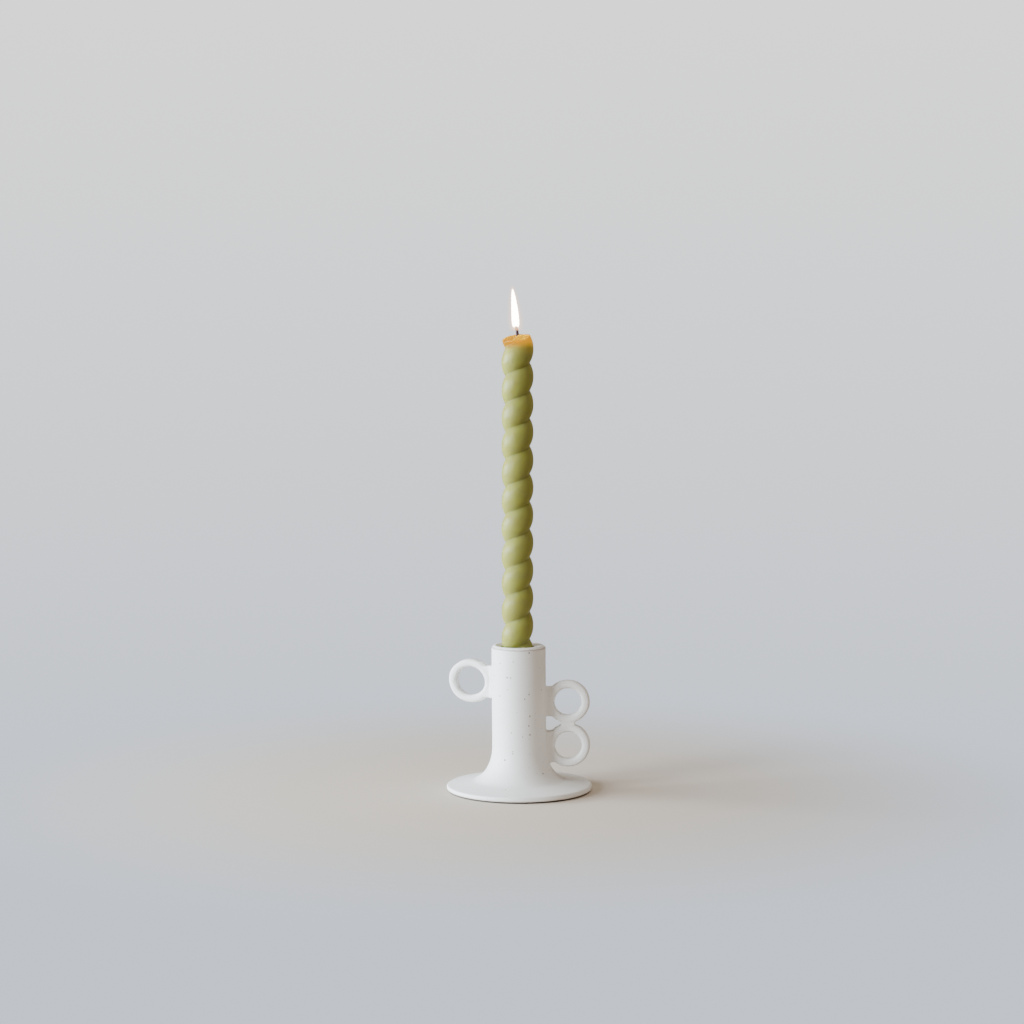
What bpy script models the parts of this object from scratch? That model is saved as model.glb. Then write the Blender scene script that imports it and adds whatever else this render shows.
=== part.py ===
"""
Ring-handled candle holder with a twisted wax taper.

A stoneware column flares into a round foot and carries three coil rings for the
fingers: one high on the left, and two stacked on the right that touch each other.
Each ring is bedded on the column in a lug of slip, and a bridge of slip joins the
two on the right. A felt pad closes the foot. A twisted taper stands in the socket
and lifts straight out.

Units are metres, +Z is up and +X is to the right. The origin is the centre of the
resting face, on the axis of the foot.
"""

import math

import bmesh
import bpy
from mathutils import Matrix, Vector

MM = 0.001

# Clearances
GAP = 0.3 * MM                      # air between two pieces that touch each other
OVERCUT = 2.0 * MM                  # how far a cutter runs past the face it opens

# Felt pad and foot
FELT_THICKNESS = 0.8 * MM
FELT_INSET = 1.0 * MM               # from the foot's edge to the felt's edge
FOOT_RADIUS = 50.8 * MM
FOOT_EDGE = 3.4 * MM                # thickness of the foot at its edge
FOOT_UPPER_ROUND = 1.3 * MM
FOOT_LOWER_ROUND = 0.9 * MM
FOOT_SLOPE = 0.17                   # rise of the foot's top face towards the column

# Column, flare, lip, socket and the hollow under them
COLUMN_RADIUS = 18.9 * MM
RIM_HEIGHT = 102.5 * MM             # crest of the lip above the resting face
RIM_LEAN = -0.5 * MM                # how far the hand-thrown rim stands off the axis, in X
FLARE_REACH = 17.0 * MM
FLARE_HEIGHT = 24.0 * MM
LIP_CREST_INSET = 2.6 * MM          # from the column's wall in to the crest of the lip
LIP_CORNER_DROP = 1.2 * MM          # from the crest down to the lip's outer corner
LIP_CORNER_ROUND = 0.4 * MM
MOUTH_WIDENING = 0.8 * MM
MOUTH_DROP = 1.8 * MM
SOCKET_CLEARANCE = 1.4 * MM         # all round a taper that stands in the middle
SOCKET_DEPTH = 30.0 * MM
SOCKET_FLOOR = 5.0 * MM
COLUMN_WALL = 5.4 * MM
HOLLOW_MOUTH_ROUND = 3.0 * MM

# Finger rings: a coil, slightly deeper than it is thick, bent into a circle
RING_HOLE_RADIUS = 9.3 * MM
COIL_THICKNESS = 6.0 * MM
COIL_DEPTH = 7.0 * MM
LEFT_HOLE_RADIUS = 10.0 * MM        # the left ring is larger, rolled thinner, and oval:
LEFT_COIL_THICKNESS = 5.4 * MM
LEFT_STRETCH = 1.12                 # width over height
LOWER_RIGHT_LIFT = 12.05 * MM       # from the foot's top edge to the lower ring's outline
RIGHT_PAIR_SPLIT = 0.3 * MM         # between the outlines of the two right rings
LEFT_DROP = 27.5 * MM               # from the lip's crest to the left ring's centre
LOWER_RIGHT_STANDOFF = 0.2 * MM     # from the column's wall out to the ring's outline
UPPER_RIGHT_STANDOFF = -0.1 * MM    # negative: pressed a little way into the wall's slip
LEFT_STANDOFF = 1.2 * MM
LEFT_AZIMUTH = math.radians(154.0)

# Slip: the beds that hold the rings
BED = 1.6 * MM                      # least room for slip between two joined pieces
LUG_DEPTH = 6.0 * MM
RIGHT_LUG_GRIP = math.radians(44.0)  # how far round the coil a lug reaches, each way
LEFT_LUG_GRIP = math.radians(50.0)
RIGHT_LUG_SPREAD = 1.75 * MM        # how much taller a lug is at the column, each way
LEFT_LUG_SPREAD = -0.2 * MM         # negative: shorter there
BRIDGE_WIDTH = 10.4 * MM
BRIDGE_HEIGHT = 3.4 * MM
BRIDGE_DEPTH = 5.0 * MM

# Twisted taper
TAPER_RADIUS = 11.1 * MM
SEAM_RADIUS = 8.4 * MM              # radius at the bottom of the spiral seam
LOBE_FULLNESS = 2.3                 # how quickly the wax swells out of the seam
TWIST_PITCH = 19.27 * MM
SEAM_START = math.radians(82.0)     # azimuth of the seam at the taper's base
TAPER_LENGTH = 244.2 * MM           # from the base to the burnt top, on the axis
TAPER_STANDOFF = 0.03 * MM          # beyond the gap, between the leaning wall and the taper
TOP_SLOPE_X = 0.19                  # rise of the burnt top per metre towards +X
TOP_SLOPE_Y = 0.10                  # and towards +Y
MELT_RADIUS = 6.6 * MM
MELT_DEPTH = 1.2 * MM

# Wick and flame
WICK_RADIUS = 0.85 * MM
WICK_SHOWING = 6.4 * MM             # height of the burnt end above the taper's top
WICK_BEND = -1.1 * MM               # how far the burnt end bends over, in X
FLAME_RADIUS = 2.8 * MM
FLAME_HEIGHT = 30.0 * MM
FLAME_BASE = 4.3 * MM               # height of the flame's foot above the taper's top
FLAME_LEAN = -3.6 * MM              # how far the flame's tip leans over, in X
FLAME_BELLY = 0.43                  # below 1 lowers the widest point of the flame
FLAME_TAPER = 0.5

# Facets
TURNED_STEPS = 48
COIL_STEPS = 36
COIL_SIDES = 12
TWIST_STEPS = 14                    # per turn of the taper
TAPER_SIDES = 12
FLAME_STEPS = 12
SMOOTH_ANGLE = math.radians(35.0)
MERGE = 0.00005

# Places that follow from the sizes above
FOOT_UNDERSIDE = FELT_THICKNESS + GAP
FOOT_TOP_EDGE = FOOT_UNDERSIDE + FOOT_EDGE
SOCKET_RADIUS = TAPER_RADIUS + SOCKET_CLEARANCE
SOCKET_FLOOR_Z = RIM_HEIGHT - SOCKET_DEPTH
RING_OUTER_RADIUS = RING_HOLE_RADIUS + COIL_THICKNESS
LEFT_OUTER_RADIUS = LEFT_HOLE_RADIUS + LEFT_COIL_THICKNESS
RING_REACH = COLUMN_RADIUS + RING_OUTER_RADIUS     # of a ring that just meets the wall
LEFT_REACH = COLUMN_RADIUS + LEFT_OUTER_RADIUS * LEFT_STRETCH + LEFT_STANDOFF
UPPER_RIGHT_REACH = RING_REACH + UPPER_RIGHT_STANDOFF
LOWER_RIGHT_REACH = RING_REACH + LOWER_RIGHT_STANDOFF
LEFT_HEIGHT = RIM_HEIGHT - LEFT_DROP
LOWER_RIGHT_HEIGHT = FOOT_TOP_EDGE + LOWER_RIGHT_LIFT + RING_OUTER_RADIUS
PAIR_MIDDLE_Z = LOWER_RIGHT_HEIGHT + RING_OUTER_RADIUS + RIGHT_PAIR_SPLIT / 2
UPPER_RIGHT_HEIGHT = 2 * PAIR_MIDDLE_Z - LOWER_RIGHT_HEIGHT
TAPER_BASE_Z = SOCKET_FLOOR_Z + GAP
TAPER_TOP_Z = TAPER_BASE_Z + TAPER_LENGTH


def clear_scene():
    for old in list(bpy.data.objects):
        bpy.data.objects.remove(old, do_unlink=True)


def new_collection(name):
    collection = bpy.data.collections.new(name)
    bpy.context.scene.collection.children.link(collection)
    return collection


def principled(name, colour, roughness, metallic=0.0):
    material = bpy.data.materials.new(name)
    material.use_nodes = True
    shader = material.node_tree.nodes["Principled BSDF"]
    shader.inputs["Base Color"].default_value = (*colour, 1.0)
    shader.inputs["Roughness"].default_value = roughness
    shader.inputs["Metallic"].default_value = metallic
    return material


def place(name, mesh, collection, material=None):
    """Put a mesh in the scene as a named object, shaded smooth but for its real edges."""
    mesh.name = name
    mesh.shade_smooth()
    mesh.set_sharp_from_angle(angle=SMOOTH_ANGLE)
    if material is not None:
        mesh.materials.append(material)
    item = bpy.data.objects.new(name, mesh)
    collection.objects.link(item)
    return item


def evaluated_mesh(item):
    """The item's mesh with its modifiers or its bevel made real and loose caps welded."""
    bpy.context.view_layer.update()
    seen = item.evaluated_get(bpy.context.evaluated_depsgraph_get())
    mesh = bpy.data.meshes.new_from_object(seen)
    mesh.materials.clear()
    solid = bmesh.new()
    solid.from_mesh(mesh)
    bmesh.ops.remove_doubles(solid, verts=solid.verts, dist=MERGE)
    solid.to_mesh(mesh)
    solid.free()
    bpy.data.objects.remove(item, do_unlink=True)
    return mesh


def turned_mesh(outline, steps, axis_shift=None):
    """Spin an outline of (radius, height) points, which runs down its outer side."""
    mesh = bpy.data.meshes.new("outline")
    points = [(radius, 0.0, height) for radius, height in outline]
    mesh.from_pydata(points, [(i, i + 1) for i in range(len(points) - 1)], [])
    item = bpy.data.objects.new("outline", mesh)
    bpy.context.scene.collection.objects.link(item)
    screw = item.modifiers.new("turn", "SCREW")
    screw.steps = steps
    screw.render_steps = steps
    screw.use_merge_vertices = True
    screw.merge_threshold = MERGE
    screw.use_smooth_shade = True
    solid = evaluated_mesh(item)
    if axis_shift is not None:
        for vertex in solid.vertices:
            vertex.co.x += axis_shift(vertex.co.z)
    return solid


def cylinder_mesh(radius, low, high, sides, tilt=None):
    solid = bmesh.new()
    bmesh.ops.create_cone(
        solid, cap_ends=True, segments=sides, radius1=radius, radius2=radius,
        depth=high - low, matrix=Matrix.Translation((0.0, 0.0, (low + high) / 2)))
    if tilt is not None:
        bmesh.ops.transform(solid, matrix=tilt, verts=solid.verts)
    mesh = bpy.data.meshes.new("cylinder")
    solid.to_mesh(mesh)
    solid.free()
    return mesh


def cut(item, cutter):
    boolean = item.modifiers.new("cut_" + cutter.name, "BOOLEAN")
    boolean.operation = "DIFFERENCE"
    boolean.solver = "EXACT"
    boolean.object = cutter


def place_cutter(name, mesh, collection):
    cutter = place(name, mesh, collection)
    cutter.hide_render = True
    cutter.display_type = "WIRE"
    return cutter


def arc(centre, across, up, start, end, steps):
    """Points on an ellipse about centre, from one angle to another, both included."""
    points = []
    for i in range(steps + 1):
        angle = start + (end - start) * i / steps
        points.append((centre[0] + across * math.cos(angle), centre[1] + up * math.sin(angle)))
    return points


# ---------------------------------------------------------------- column and foot

def flare_base_height(slope_start):
    """Height at which the flare would turn level, and the angle where it meets the slope."""
    meet = math.atan2(FLARE_HEIGHT, FLARE_REACH * FOOT_SLOPE)
    radius = COLUMN_RADIUS + FLARE_REACH * (1 - math.cos(meet))
    height = slope_start[1] + FOOT_SLOPE * (slope_start[0] - radius)
    return height - FLARE_HEIGHT * (1 - math.sin(meet)), meet


def foot_edge_start():
    """Outer end of the foot's sloping top face."""
    return FOOT_RADIUS - FOOT_UPPER_ROUND, FOOT_TOP_EDGE


def flare_top():
    return flare_base_height(foot_edge_start())[0] + FLARE_HEIGHT


def rim_shift(height):
    """Sideways shift of the column's axis, which leans above the flare."""
    start = flare_top()
    return RIM_LEAN * max(0.0, height - start) / (RIM_HEIGHT - start)


def outer_outline(extra=0.0):
    """The outside from the lip's corner down to the foot's edge, grown by extra."""
    wall = COLUMN_RADIUS + extra
    corner_z = RIM_HEIGHT - LIP_CORNER_DROP
    base_z, meet = flare_base_height(foot_edge_start())
    flare_centre = (COLUMN_RADIUS + FLARE_REACH, base_z + FLARE_HEIGHT)
    points = arc((wall - LIP_CORNER_ROUND, corner_z - LIP_CORNER_ROUND),
                 LIP_CORNER_ROUND, LIP_CORNER_ROUND, math.radians(70), 0.0, 2)
    points += arc(flare_centre, FLARE_REACH - extra, FLARE_HEIGHT - extra,
                  math.pi, math.pi + meet, 8)
    edge_radius, edge_z = foot_edge_start()
    points += arc((edge_radius, edge_z - FOOT_UPPER_ROUND), FOOT_UPPER_ROUND + extra,
                  FOOT_UPPER_ROUND + extra, math.radians(80), 0.0, 3)
    points += arc((FOOT_RADIUS - FOOT_LOWER_ROUND, FOOT_UNDERSIDE + FOOT_LOWER_ROUND),
                  FOOT_LOWER_ROUND + extra, FOOT_LOWER_ROUND + extra, 0.0, -math.pi / 2, 2)
    return points


def body_outline():
    """Socket floor, socket wall, lip, outside, underside and the hollow, in that order."""
    hollow_radius = COLUMN_RADIUS - COLUMN_WALL
    hollow_top = SOCKET_FLOOR_Z - SOCKET_FLOOR
    mouth_z = RIM_HEIGHT - MOUTH_DROP
    crest_radius = COLUMN_RADIUS - LIP_CREST_INSET
    points = [(0.0, SOCKET_FLOOR_Z), (SOCKET_RADIUS, SOCKET_FLOOR_Z)]
    points += [(SOCKET_RADIUS, mouth_z - MOUTH_WIDENING)]
    points += [(SOCKET_RADIUS + MOUTH_WIDENING, mouth_z)]
    points += [(crest_radius, RIM_HEIGHT)]
    points += outer_outline()
    points += arc((hollow_radius + HOLLOW_MOUTH_ROUND, FOOT_UNDERSIDE + HOLLOW_MOUTH_ROUND),
                  HOLLOW_MOUTH_ROUND, HOLLOW_MOUTH_ROUND, math.pi * 1.5, math.pi, 3)
    points += [(hollow_radius, hollow_top), (0.0, hollow_top)]
    return points


def make_body(parts, stoneware):
    mesh = turned_mesh(body_outline(), TURNED_STEPS, rim_shift)
    return place("thrown_column_and_foot", mesh, parts, stoneware)


def make_body_clearance(cutters):
    """The body's outside grown by the gap, to cut what is bedded against it."""
    grown = outer_outline(GAP)
    closed = [(0.0, grown[0][1])] + grown + [(0.0, grown[-1][1])]
    return place_cutter("body_clearance", turned_mesh(closed, TURNED_STEPS, rim_shift), cutters)


def make_felt(parts, felt):
    mesh = cylinder_mesh(FOOT_RADIUS - FELT_INSET, 0.0, FELT_THICKNESS, TURNED_STEPS)
    return place("felt_pad", mesh, parts, felt)


# ---------------------------------------------------------------- rings, lugs, bridge

def ring_matrix(azimuth, height):
    """Frame of a ring: local X runs out from the column's axis, local Z is up."""
    return Matrix.Translation((0.0, 0.0, height)) @ Matrix.Rotation(azimuth, 4, "Z")


class Coil:
    """A coil's sizes, and how far out its ring's middle is."""

    def __init__(self, reach, hole_radius=RING_HOLE_RADIUS, thickness=COIL_THICKNESS,
                 stretch=1.0):
        self.reach = reach
        self.thickness = thickness
        self.stretch = stretch
        self.middle_radius = hole_radius + thickness / 2
        self.outer_radius = hole_radius + thickness


def coil_mesh(coil, extra=0.0):
    """A coil bent into a ring, in the ring's own frame, grown by extra."""
    bpy.ops.mesh.primitive_torus_add(
        major_segments=COIL_STEPS, minor_segments=COIL_SIDES,
        major_radius=coil.middle_radius, minor_radius=coil.thickness / 2 + extra)
    torus = bpy.context.active_object
    mesh = torus.data.copy()
    bpy.data.objects.remove(torus, do_unlink=True)
    depth_scale = (COIL_DEPTH / 2 + extra) / (coil.thickness / 2 + extra)
    mesh.transform(Matrix.Translation((coil.reach, 0.0, 0.0))
                   @ Matrix.Rotation(math.pi / 2, 4, "X")
                   @ Matrix.Diagonal((coil.stretch, 1.0, depth_scale, 1.0)))
    return mesh


def bed_cutter(name, cutters, extra=0.0):
    """A post on the column's axis that leaves room for slip between column and coil."""
    post = cylinder_mesh(COLUMN_RADIUS + BED - extra, 0.0, RIM_HEIGHT, TURNED_STEPS)
    return place_cutter(name, post, cutters)


def pair_cutter(name, cutters, extra=0.0):
    """A slab at the height where the two right rings meet, to leave room for the bridge."""
    solid = bmesh.new()
    bmesh.ops.create_cube(solid, size=1.0)
    mesh = bpy.data.meshes.new("slab")
    solid.to_mesh(mesh)
    solid.free()
    side = 2 * (UPPER_RIGHT_REACH + RING_OUTER_RADIUS)
    mesh.transform(Matrix.Translation((0.0, 0.0, PAIR_MIDDLE_Z))
                   @ Matrix.Diagonal((side, side, BED - 2 * extra, 1.0)))
    return place_cutter(name, mesh, cutters)


def make_ring(name, coil, frame, cutting, parts, stoneware):
    ring = place(name, coil_mesh(coil), parts, stoneware)
    ring.matrix_world = frame
    for cutter in cutting:
        cut(ring, cutter)
    return ring


def ring_clearance(name, coil, frame, cutting, cutters):
    """A ring grown by the gap, to cut the slip that it is bedded in."""
    grown = place_cutter(name, coil_mesh(coil, GAP), cutters)
    grown.matrix_world = frame
    for cutter in cutting:
        cut(grown, cutter)
    return grown


def lug_outline(coil, spread, grip):
    """Web between the column and the coil, in the ring's own X and Z."""
    hold = Vector((coil.reach - coil.outer_radius * coil.stretch * math.cos(grip),
                   coil.outer_radius * math.sin(grip)))
    start = Vector((COLUMN_RADIUS, hold.y + spread))
    bend = Vector((COLUMN_RADIUS + GAP, hold.y))
    upper = [(COLUMN_RADIUS - BED, start.y)]
    steps = 5
    for i in range(steps + 1):
        t = i / steps
        point = (1 - t) ** 2 * start + 2 * t * (1 - t) * bend + t * t * hold
        upper.append((point.x, point.y))
    inner = arc((coil.reach, 0.0), -coil.middle_radius * coil.stretch, coil.middle_radius,
                grip, -grip, 8)
    lower = [(x, -z) for x, z in reversed(upper)]
    return upper + inner + lower


def make_lug(name, coil, spread, grip, frame, cutting, parts, stoneware):
    outline = lug_outline(coil, spread, grip)
    curve = bpy.data.curves.new(name, "CURVE")
    curve.dimensions = "2D"
    curve.fill_mode = "BOTH"
    curve.extrude = LUG_DEPTH / 2
    spline = curve.splines.new("POLY")
    spline.points.add(len(outline) - 1)
    for point, (x, z) in zip(spline.points, outline):
        point.co = (x, z, 0.0, 1.0)
    spline.use_cyclic_u = True
    flat = bpy.data.objects.new("flat_web", curve)
    bpy.context.scene.collection.objects.link(flat)
    mesh = evaluated_mesh(flat)
    mesh.transform(Matrix.Rotation(math.pi / 2, 4, "X"))
    lug = place(name, mesh, parts, stoneware)
    lug.matrix_world = frame
    for cutter in cutting:
        cut(lug, cutter)
    return lug


def make_bridge(cutting, parts, stoneware):
    solid = bmesh.new()
    bmesh.ops.create_cube(solid, size=1.0)
    mesh = bpy.data.meshes.new("bridge")
    solid.to_mesh(mesh)
    solid.free()
    mesh.transform(Matrix.Diagonal((BRIDGE_WIDTH, BRIDGE_DEPTH, BRIDGE_HEIGHT, 1.0)))
    bridge = place("right_ring_bridge", mesh, parts, stoneware)
    middle = (UPPER_RIGHT_REACH + LOWER_RIGHT_REACH) / 2
    bridge.location = (middle, 0.0, PAIR_MIDDLE_Z)
    for cutter in cutting:
        cut(bridge, cutter)
    return bridge


def make_rings(parts, cutters, stoneware):
    body_clearance = make_body_clearance(cutters)
    bed = bed_cutter("ring_bed", cutters)
    bed_clear = bed_cutter("ring_bed_clear", cutters, GAP)
    split = pair_cutter("pair_split", cutters)
    split_clear = pair_cutter("pair_split_clear", cutters, GAP)

    left_coil = Coil(LEFT_REACH, LEFT_HOLE_RADIUS, LEFT_COIL_THICKNESS, LEFT_STRETCH)
    layout = [
        ("left_ring", left_coil, LEFT_AZIMUTH, LEFT_HEIGHT, LEFT_LUG_SPREAD, LEFT_LUG_GRIP),
        ("upper_right_ring", Coil(UPPER_RIGHT_REACH), 0.0, UPPER_RIGHT_HEIGHT,
         RIGHT_LUG_SPREAD, RIGHT_LUG_GRIP),
        ("lower_right_ring", Coil(LOWER_RIGHT_REACH), 0.0, LOWER_RIGHT_HEIGHT,
         RIGHT_LUG_SPREAD, RIGHT_LUG_GRIP),
    ]
    clearances = {}
    for name, coil, azimuth, height, spread, grip in layout:
        frame = ring_matrix(azimuth, height)
        paired = name != "left_ring"
        ring_cuts = [bed, split] if paired else [bed]
        clear_cuts = [bed_clear, split_clear] if paired else [bed_clear]
        make_ring(name, coil, frame, ring_cuts, parts, stoneware)
        clearances[name] = ring_clearance(name + "_clearance", coil, frame, clear_cuts, cutters)
        make_lug(name + "_lug", coil, spread, grip, frame,
                 [body_clearance, clearances[name]], parts, stoneware)
    make_bridge([clearances["upper_right_ring"], clearances["lower_right_ring"]],
                parts, stoneware)


# ---------------------------------------------------------------- taper, wick, flame

def seat_x():
    """Where the taper's axis stands: it rests against the left wall of the socket."""
    wall = rim_shift(SOCKET_FLOOR_Z) - SOCKET_RADIUS
    return wall + GAP + TAPER_STANDOFF + TAPER_RADIUS


def lobe_radius(angle):
    """Radius of the taper's section, by the angle from its one seam."""
    from_seam = 1 - abs(1 - angle / math.pi)
    return SEAM_RADIUS + (TAPER_RADIUS - SEAM_RADIUS) * (1 - (1 - from_seam) ** LOBE_FULLNESS)


def top_tilt():
    """Rotation and place of the burnt top, in the taper's own frame."""
    normal = Vector((-TOP_SLOPE_X, -TOP_SLOPE_Y, 1.0)).normalized()
    turn = normal.to_track_quat("Z", "Y").to_matrix().to_4x4()
    return Matrix.Translation((0.0, 0.0, TAPER_LENGTH)) @ turn, normal


def twisted_mesh():
    """One lobed section carried up a screw path, then cut along the burnt top."""
    raw_length = TAPER_LENGTH + (TOP_SLOPE_X + TOP_SLOPE_Y) * TAPER_RADIUS
    steps = math.ceil(raw_length / TWIST_PITCH * TWIST_STEPS)
    solid = bmesh.new()
    ring = []
    for i in range(TAPER_SIDES):
        angle = 2 * math.pi * i / TAPER_SIDES
        radius = lobe_radius(angle)
        ring.append(solid.verts.new((radius * math.cos(angle + SEAM_START),
                                     radius * math.sin(angle + SEAM_START), 0.0)))
    edges = [solid.edges.new((ring[i - 1], ring[i])) for i in range(TAPER_SIDES)]
    bmesh.ops.spin(solid, geom=ring + edges, cent=(0.0, 0.0, 0.0), axis=(0.0, 0.0, 1.0),
                   dvec=(0.0, 0.0, TWIST_PITCH / TWIST_STEPS),
                   angle=2 * math.pi * steps / TWIST_STEPS, steps=steps)
    bmesh.ops.triangulate(solid, faces=solid.faces, quad_method="SHORT_EDGE")
    tilt, normal = top_tilt()
    everything = solid.verts[:] + solid.edges[:] + solid.faces[:]
    bmesh.ops.bisect_plane(solid, geom=everything, dist=MERGE / 10,
                           plane_co=tilt.translation, plane_no=normal, clear_outer=True)
    open_edges = [edge for edge in solid.edges if edge.is_boundary]
    bmesh.ops.holes_fill(solid, edges=open_edges, sides=0)
    bmesh.ops.recalc_face_normals(solid, faces=solid.faces)
    mesh = bpy.data.meshes.new("twist")
    solid.to_mesh(mesh)
    solid.free()
    return mesh


def wick_mesh(extra=0.0, start=0.0):
    """The wick's line, straight through the wax and bent over at its burnt end."""
    curve = bpy.data.curves.new("wick_line", "CURVE")
    curve.dimensions = "3D"
    curve.bevel_depth = WICK_RADIUS + extra
    curve.bevel_resolution = 2
    curve.use_fill_caps = True
    spline = curve.splines.new("POLY")
    bends = 4
    spline.points.add(bends + 1)
    spline.points[0].co = (0.0, 0.0, start, 1.0)
    for i in range(bends + 1):
        t = i / bends
        past_end = extra if i == bends else 0.0
        height = TAPER_LENGTH + WICK_SHOWING * t + past_end
        spline.points[i + 1].co = (WICK_BEND * t * t, 0.0, height, 1.0)
    line = bpy.data.objects.new("wick_line", curve)
    bpy.context.scene.collection.objects.link(line)
    return evaluated_mesh(line)


def flame_lean(height):
    """The flame leans from the wick's burnt end towards its tip."""
    foot = TAPER_LENGTH + FLAME_BASE
    rise = (height - foot) / FLAME_HEIGHT
    return WICK_BEND + (FLAME_LEAN - WICK_BEND) * max(0.0, rise)


def flame_mesh():
    points = []
    steps = 12
    for i in range(steps + 1):
        rise = 1 - i / steps
        belly = math.sin(math.pi * rise ** FLAME_BELLY)
        radius = FLAME_RADIUS * max(0.0, belly) ** FLAME_TAPER
        radius = 0.0 if i in (0, steps) else radius
        points.append((radius, TAPER_LENGTH + FLAME_BASE + FLAME_HEIGHT * rise))
    return turned_mesh(points, FLAME_STEPS, flame_lean)


def make_taper(parts, cutters, wax, molten, cotton, glow):
    seat = bpy.data.objects.new("taper_seat", None)
    seat.location = (seat_x(), 0.0, TAPER_BASE_Z)
    parts.objects.link(seat)
    tilt, _ = top_tilt()

    bore_radius = WICK_RADIUS + GAP
    bore = place_cutter("wick_bore", cylinder_mesh(
        bore_radius, -OVERCUT, TAPER_LENGTH + OVERCUT, COIL_SIDES), cutters)
    dish = place_cutter("melt_dish", cylinder_mesh(
        MELT_RADIUS + GAP, -MELT_DEPTH - GAP, OVERCUT, FLAME_STEPS * 2, tilt), cutters)
    fat_wick = place_cutter("wick_clearance", wick_mesh(GAP, TAPER_LENGTH / 2), cutters)

    taper = place("twisted_taper", twisted_mesh(), parts, wax)
    cut(taper, dish)
    cut(taper, bore)
    pool = place("melt_pool", cylinder_mesh(
        MELT_RADIUS, -MELT_DEPTH, 0.0, FLAME_STEPS * 2, tilt), parts, molten)
    cut(pool, bore)
    wick = place("wick", wick_mesh(), parts, cotton)
    flame = place("flame", flame_mesh(), parts, glow)
    cut(flame, fat_wick)
    for piece in (taper, pool, wick, flame, bore, dish, fat_wick):
        piece.parent = seat


def build():
    clear_scene()
    parts = new_collection("ring_candle_holder")
    cutters = new_collection("cutters")
    stoneware = principled("matte_white_stoneware", (0.80, 0.80, 0.79), 0.55)
    felt = principled("dark_felt", (0.05, 0.04, 0.035), 0.95)
    wax = principled("olive_wax", (0.36, 0.37, 0.10), 0.40)
    molten = principled("molten_wax", (0.90, 0.50, 0.16), 0.15)
    cotton = principled("charred_cotton", (0.03, 0.02, 0.025), 0.90)
    glow = principled("flame_glow", (1.0, 0.90, 0.72), 0.50)

    make_felt(parts, felt)
    make_body(parts, stoneware)
    make_rings(parts, cutters, stoneware)
    make_taper(parts, cutters, wax, molten, cotton, glow)


build()
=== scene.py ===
# %% [markdown]
# # A stoneware ring holder and its twisted candle
# This lesson dresses a plain working model of a candle holder until it looks like the real
# thing: matte white glaze over clay, rings of rolled clay pressed on with slip, and a
# taper of olive wax that has burnt for a while.
# The working model is loaded first. It says where everything is, in metres, and it is
# never changed: each finer piece made here stands in for one or more of its pieces.

# %% Load the working model
import math

import bmesh
import bpy
import numpy as np
from mathutils import Matrix, Vector, noise
from mathutils.bvhtree import BVHTree


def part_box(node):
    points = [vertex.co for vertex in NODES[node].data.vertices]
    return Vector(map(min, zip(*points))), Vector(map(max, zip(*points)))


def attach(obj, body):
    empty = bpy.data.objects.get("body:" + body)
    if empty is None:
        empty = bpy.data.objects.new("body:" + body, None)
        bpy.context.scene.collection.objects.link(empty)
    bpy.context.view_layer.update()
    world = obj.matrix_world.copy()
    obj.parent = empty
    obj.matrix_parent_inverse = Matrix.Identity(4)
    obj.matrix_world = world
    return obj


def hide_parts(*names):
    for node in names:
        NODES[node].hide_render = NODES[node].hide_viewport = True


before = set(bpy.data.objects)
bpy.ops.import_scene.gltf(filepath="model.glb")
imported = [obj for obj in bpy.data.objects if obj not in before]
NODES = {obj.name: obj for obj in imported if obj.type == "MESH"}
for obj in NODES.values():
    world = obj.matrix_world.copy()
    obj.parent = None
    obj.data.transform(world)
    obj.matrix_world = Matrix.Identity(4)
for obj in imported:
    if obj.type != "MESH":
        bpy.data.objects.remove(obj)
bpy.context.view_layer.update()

MM = 0.001
print("pieces in the working model:", sorted(NODES))

# %% [markdown]
# The working model also gives the sizes. A turned part's radius can be read from its
# points, as their distance from the part's axis, and a ring's middle is the middle of its
# box. Reading them keeps the fine pieces true to the model.

# %% Read sizes from the working model
def points_of(name):
    """All points of a working piece, one row each."""
    mesh = NODES[name].data
    flat = np.empty(len(mesh.vertices) * 3)
    mesh.vertices.foreach_get("co", flat)
    return flat.reshape(-1, 3)


def middle(name):
    low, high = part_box(name)
    return (Vector(low) + Vector(high)) / 2


BODY = "thrown_column_and_foot"
body_points = points_of(BODY)
FOOT_RADIUS = body_points[:, 0].max()
FOOT_UNDERSIDE = body_points[:, 2].min()
RIM_HEIGHT = body_points[:, 2].max()
FLARE_SAMPLE = 31 * MM
flare_end = body_points[np.abs(body_points[:, 2] - FLARE_SAMPLE) < 0.5 * MM]
COLUMN_RADIUS = np.hypot(flare_end[:, 0], flare_end[:, 1]).mean()
FLARE_TOP = flare_end[:, 2].mean()
crest = body_points[body_points[:, 2] > RIM_HEIGHT - 0.1 * MM]
RIM_LEAN = crest[:, 0].mean()
TAPER_AXIS_X = middle("felt_pad").x + (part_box("melt_pool")[0][0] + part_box("melt_pool")[1][0]) / 2
TAPER_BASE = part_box("twisted_taper")[0][2]
print(f"foot {FOOT_RADIUS / MM:.1f} mm, column {COLUMN_RADIUS / MM:.1f} mm in radius, "
      f"rim at {RIM_HEIGHT / MM:.1f} mm leaning {RIM_LEAN / MM:.2f} mm")
print(f"taper's axis at x = {TAPER_AXIS_X / MM:.2f} mm, its base at {TAPER_BASE / MM:.1f} mm")

# %% [markdown]
# ## The camera and the light
# The camera comes first, so that every later step can be judged from the same place. A
# long lens from about a metre and a half away keeps the column's sides nearly parallel,
# and the slight downward tilt shows a little of the lip and of the foot's upper face.

# %% Set up the camera
LENS = 85.0
CAMERA_PLACE = (-5.1 * MM, -1.677, 0.3366)
CAMERA_TILT = math.radians(4.8)

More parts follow.
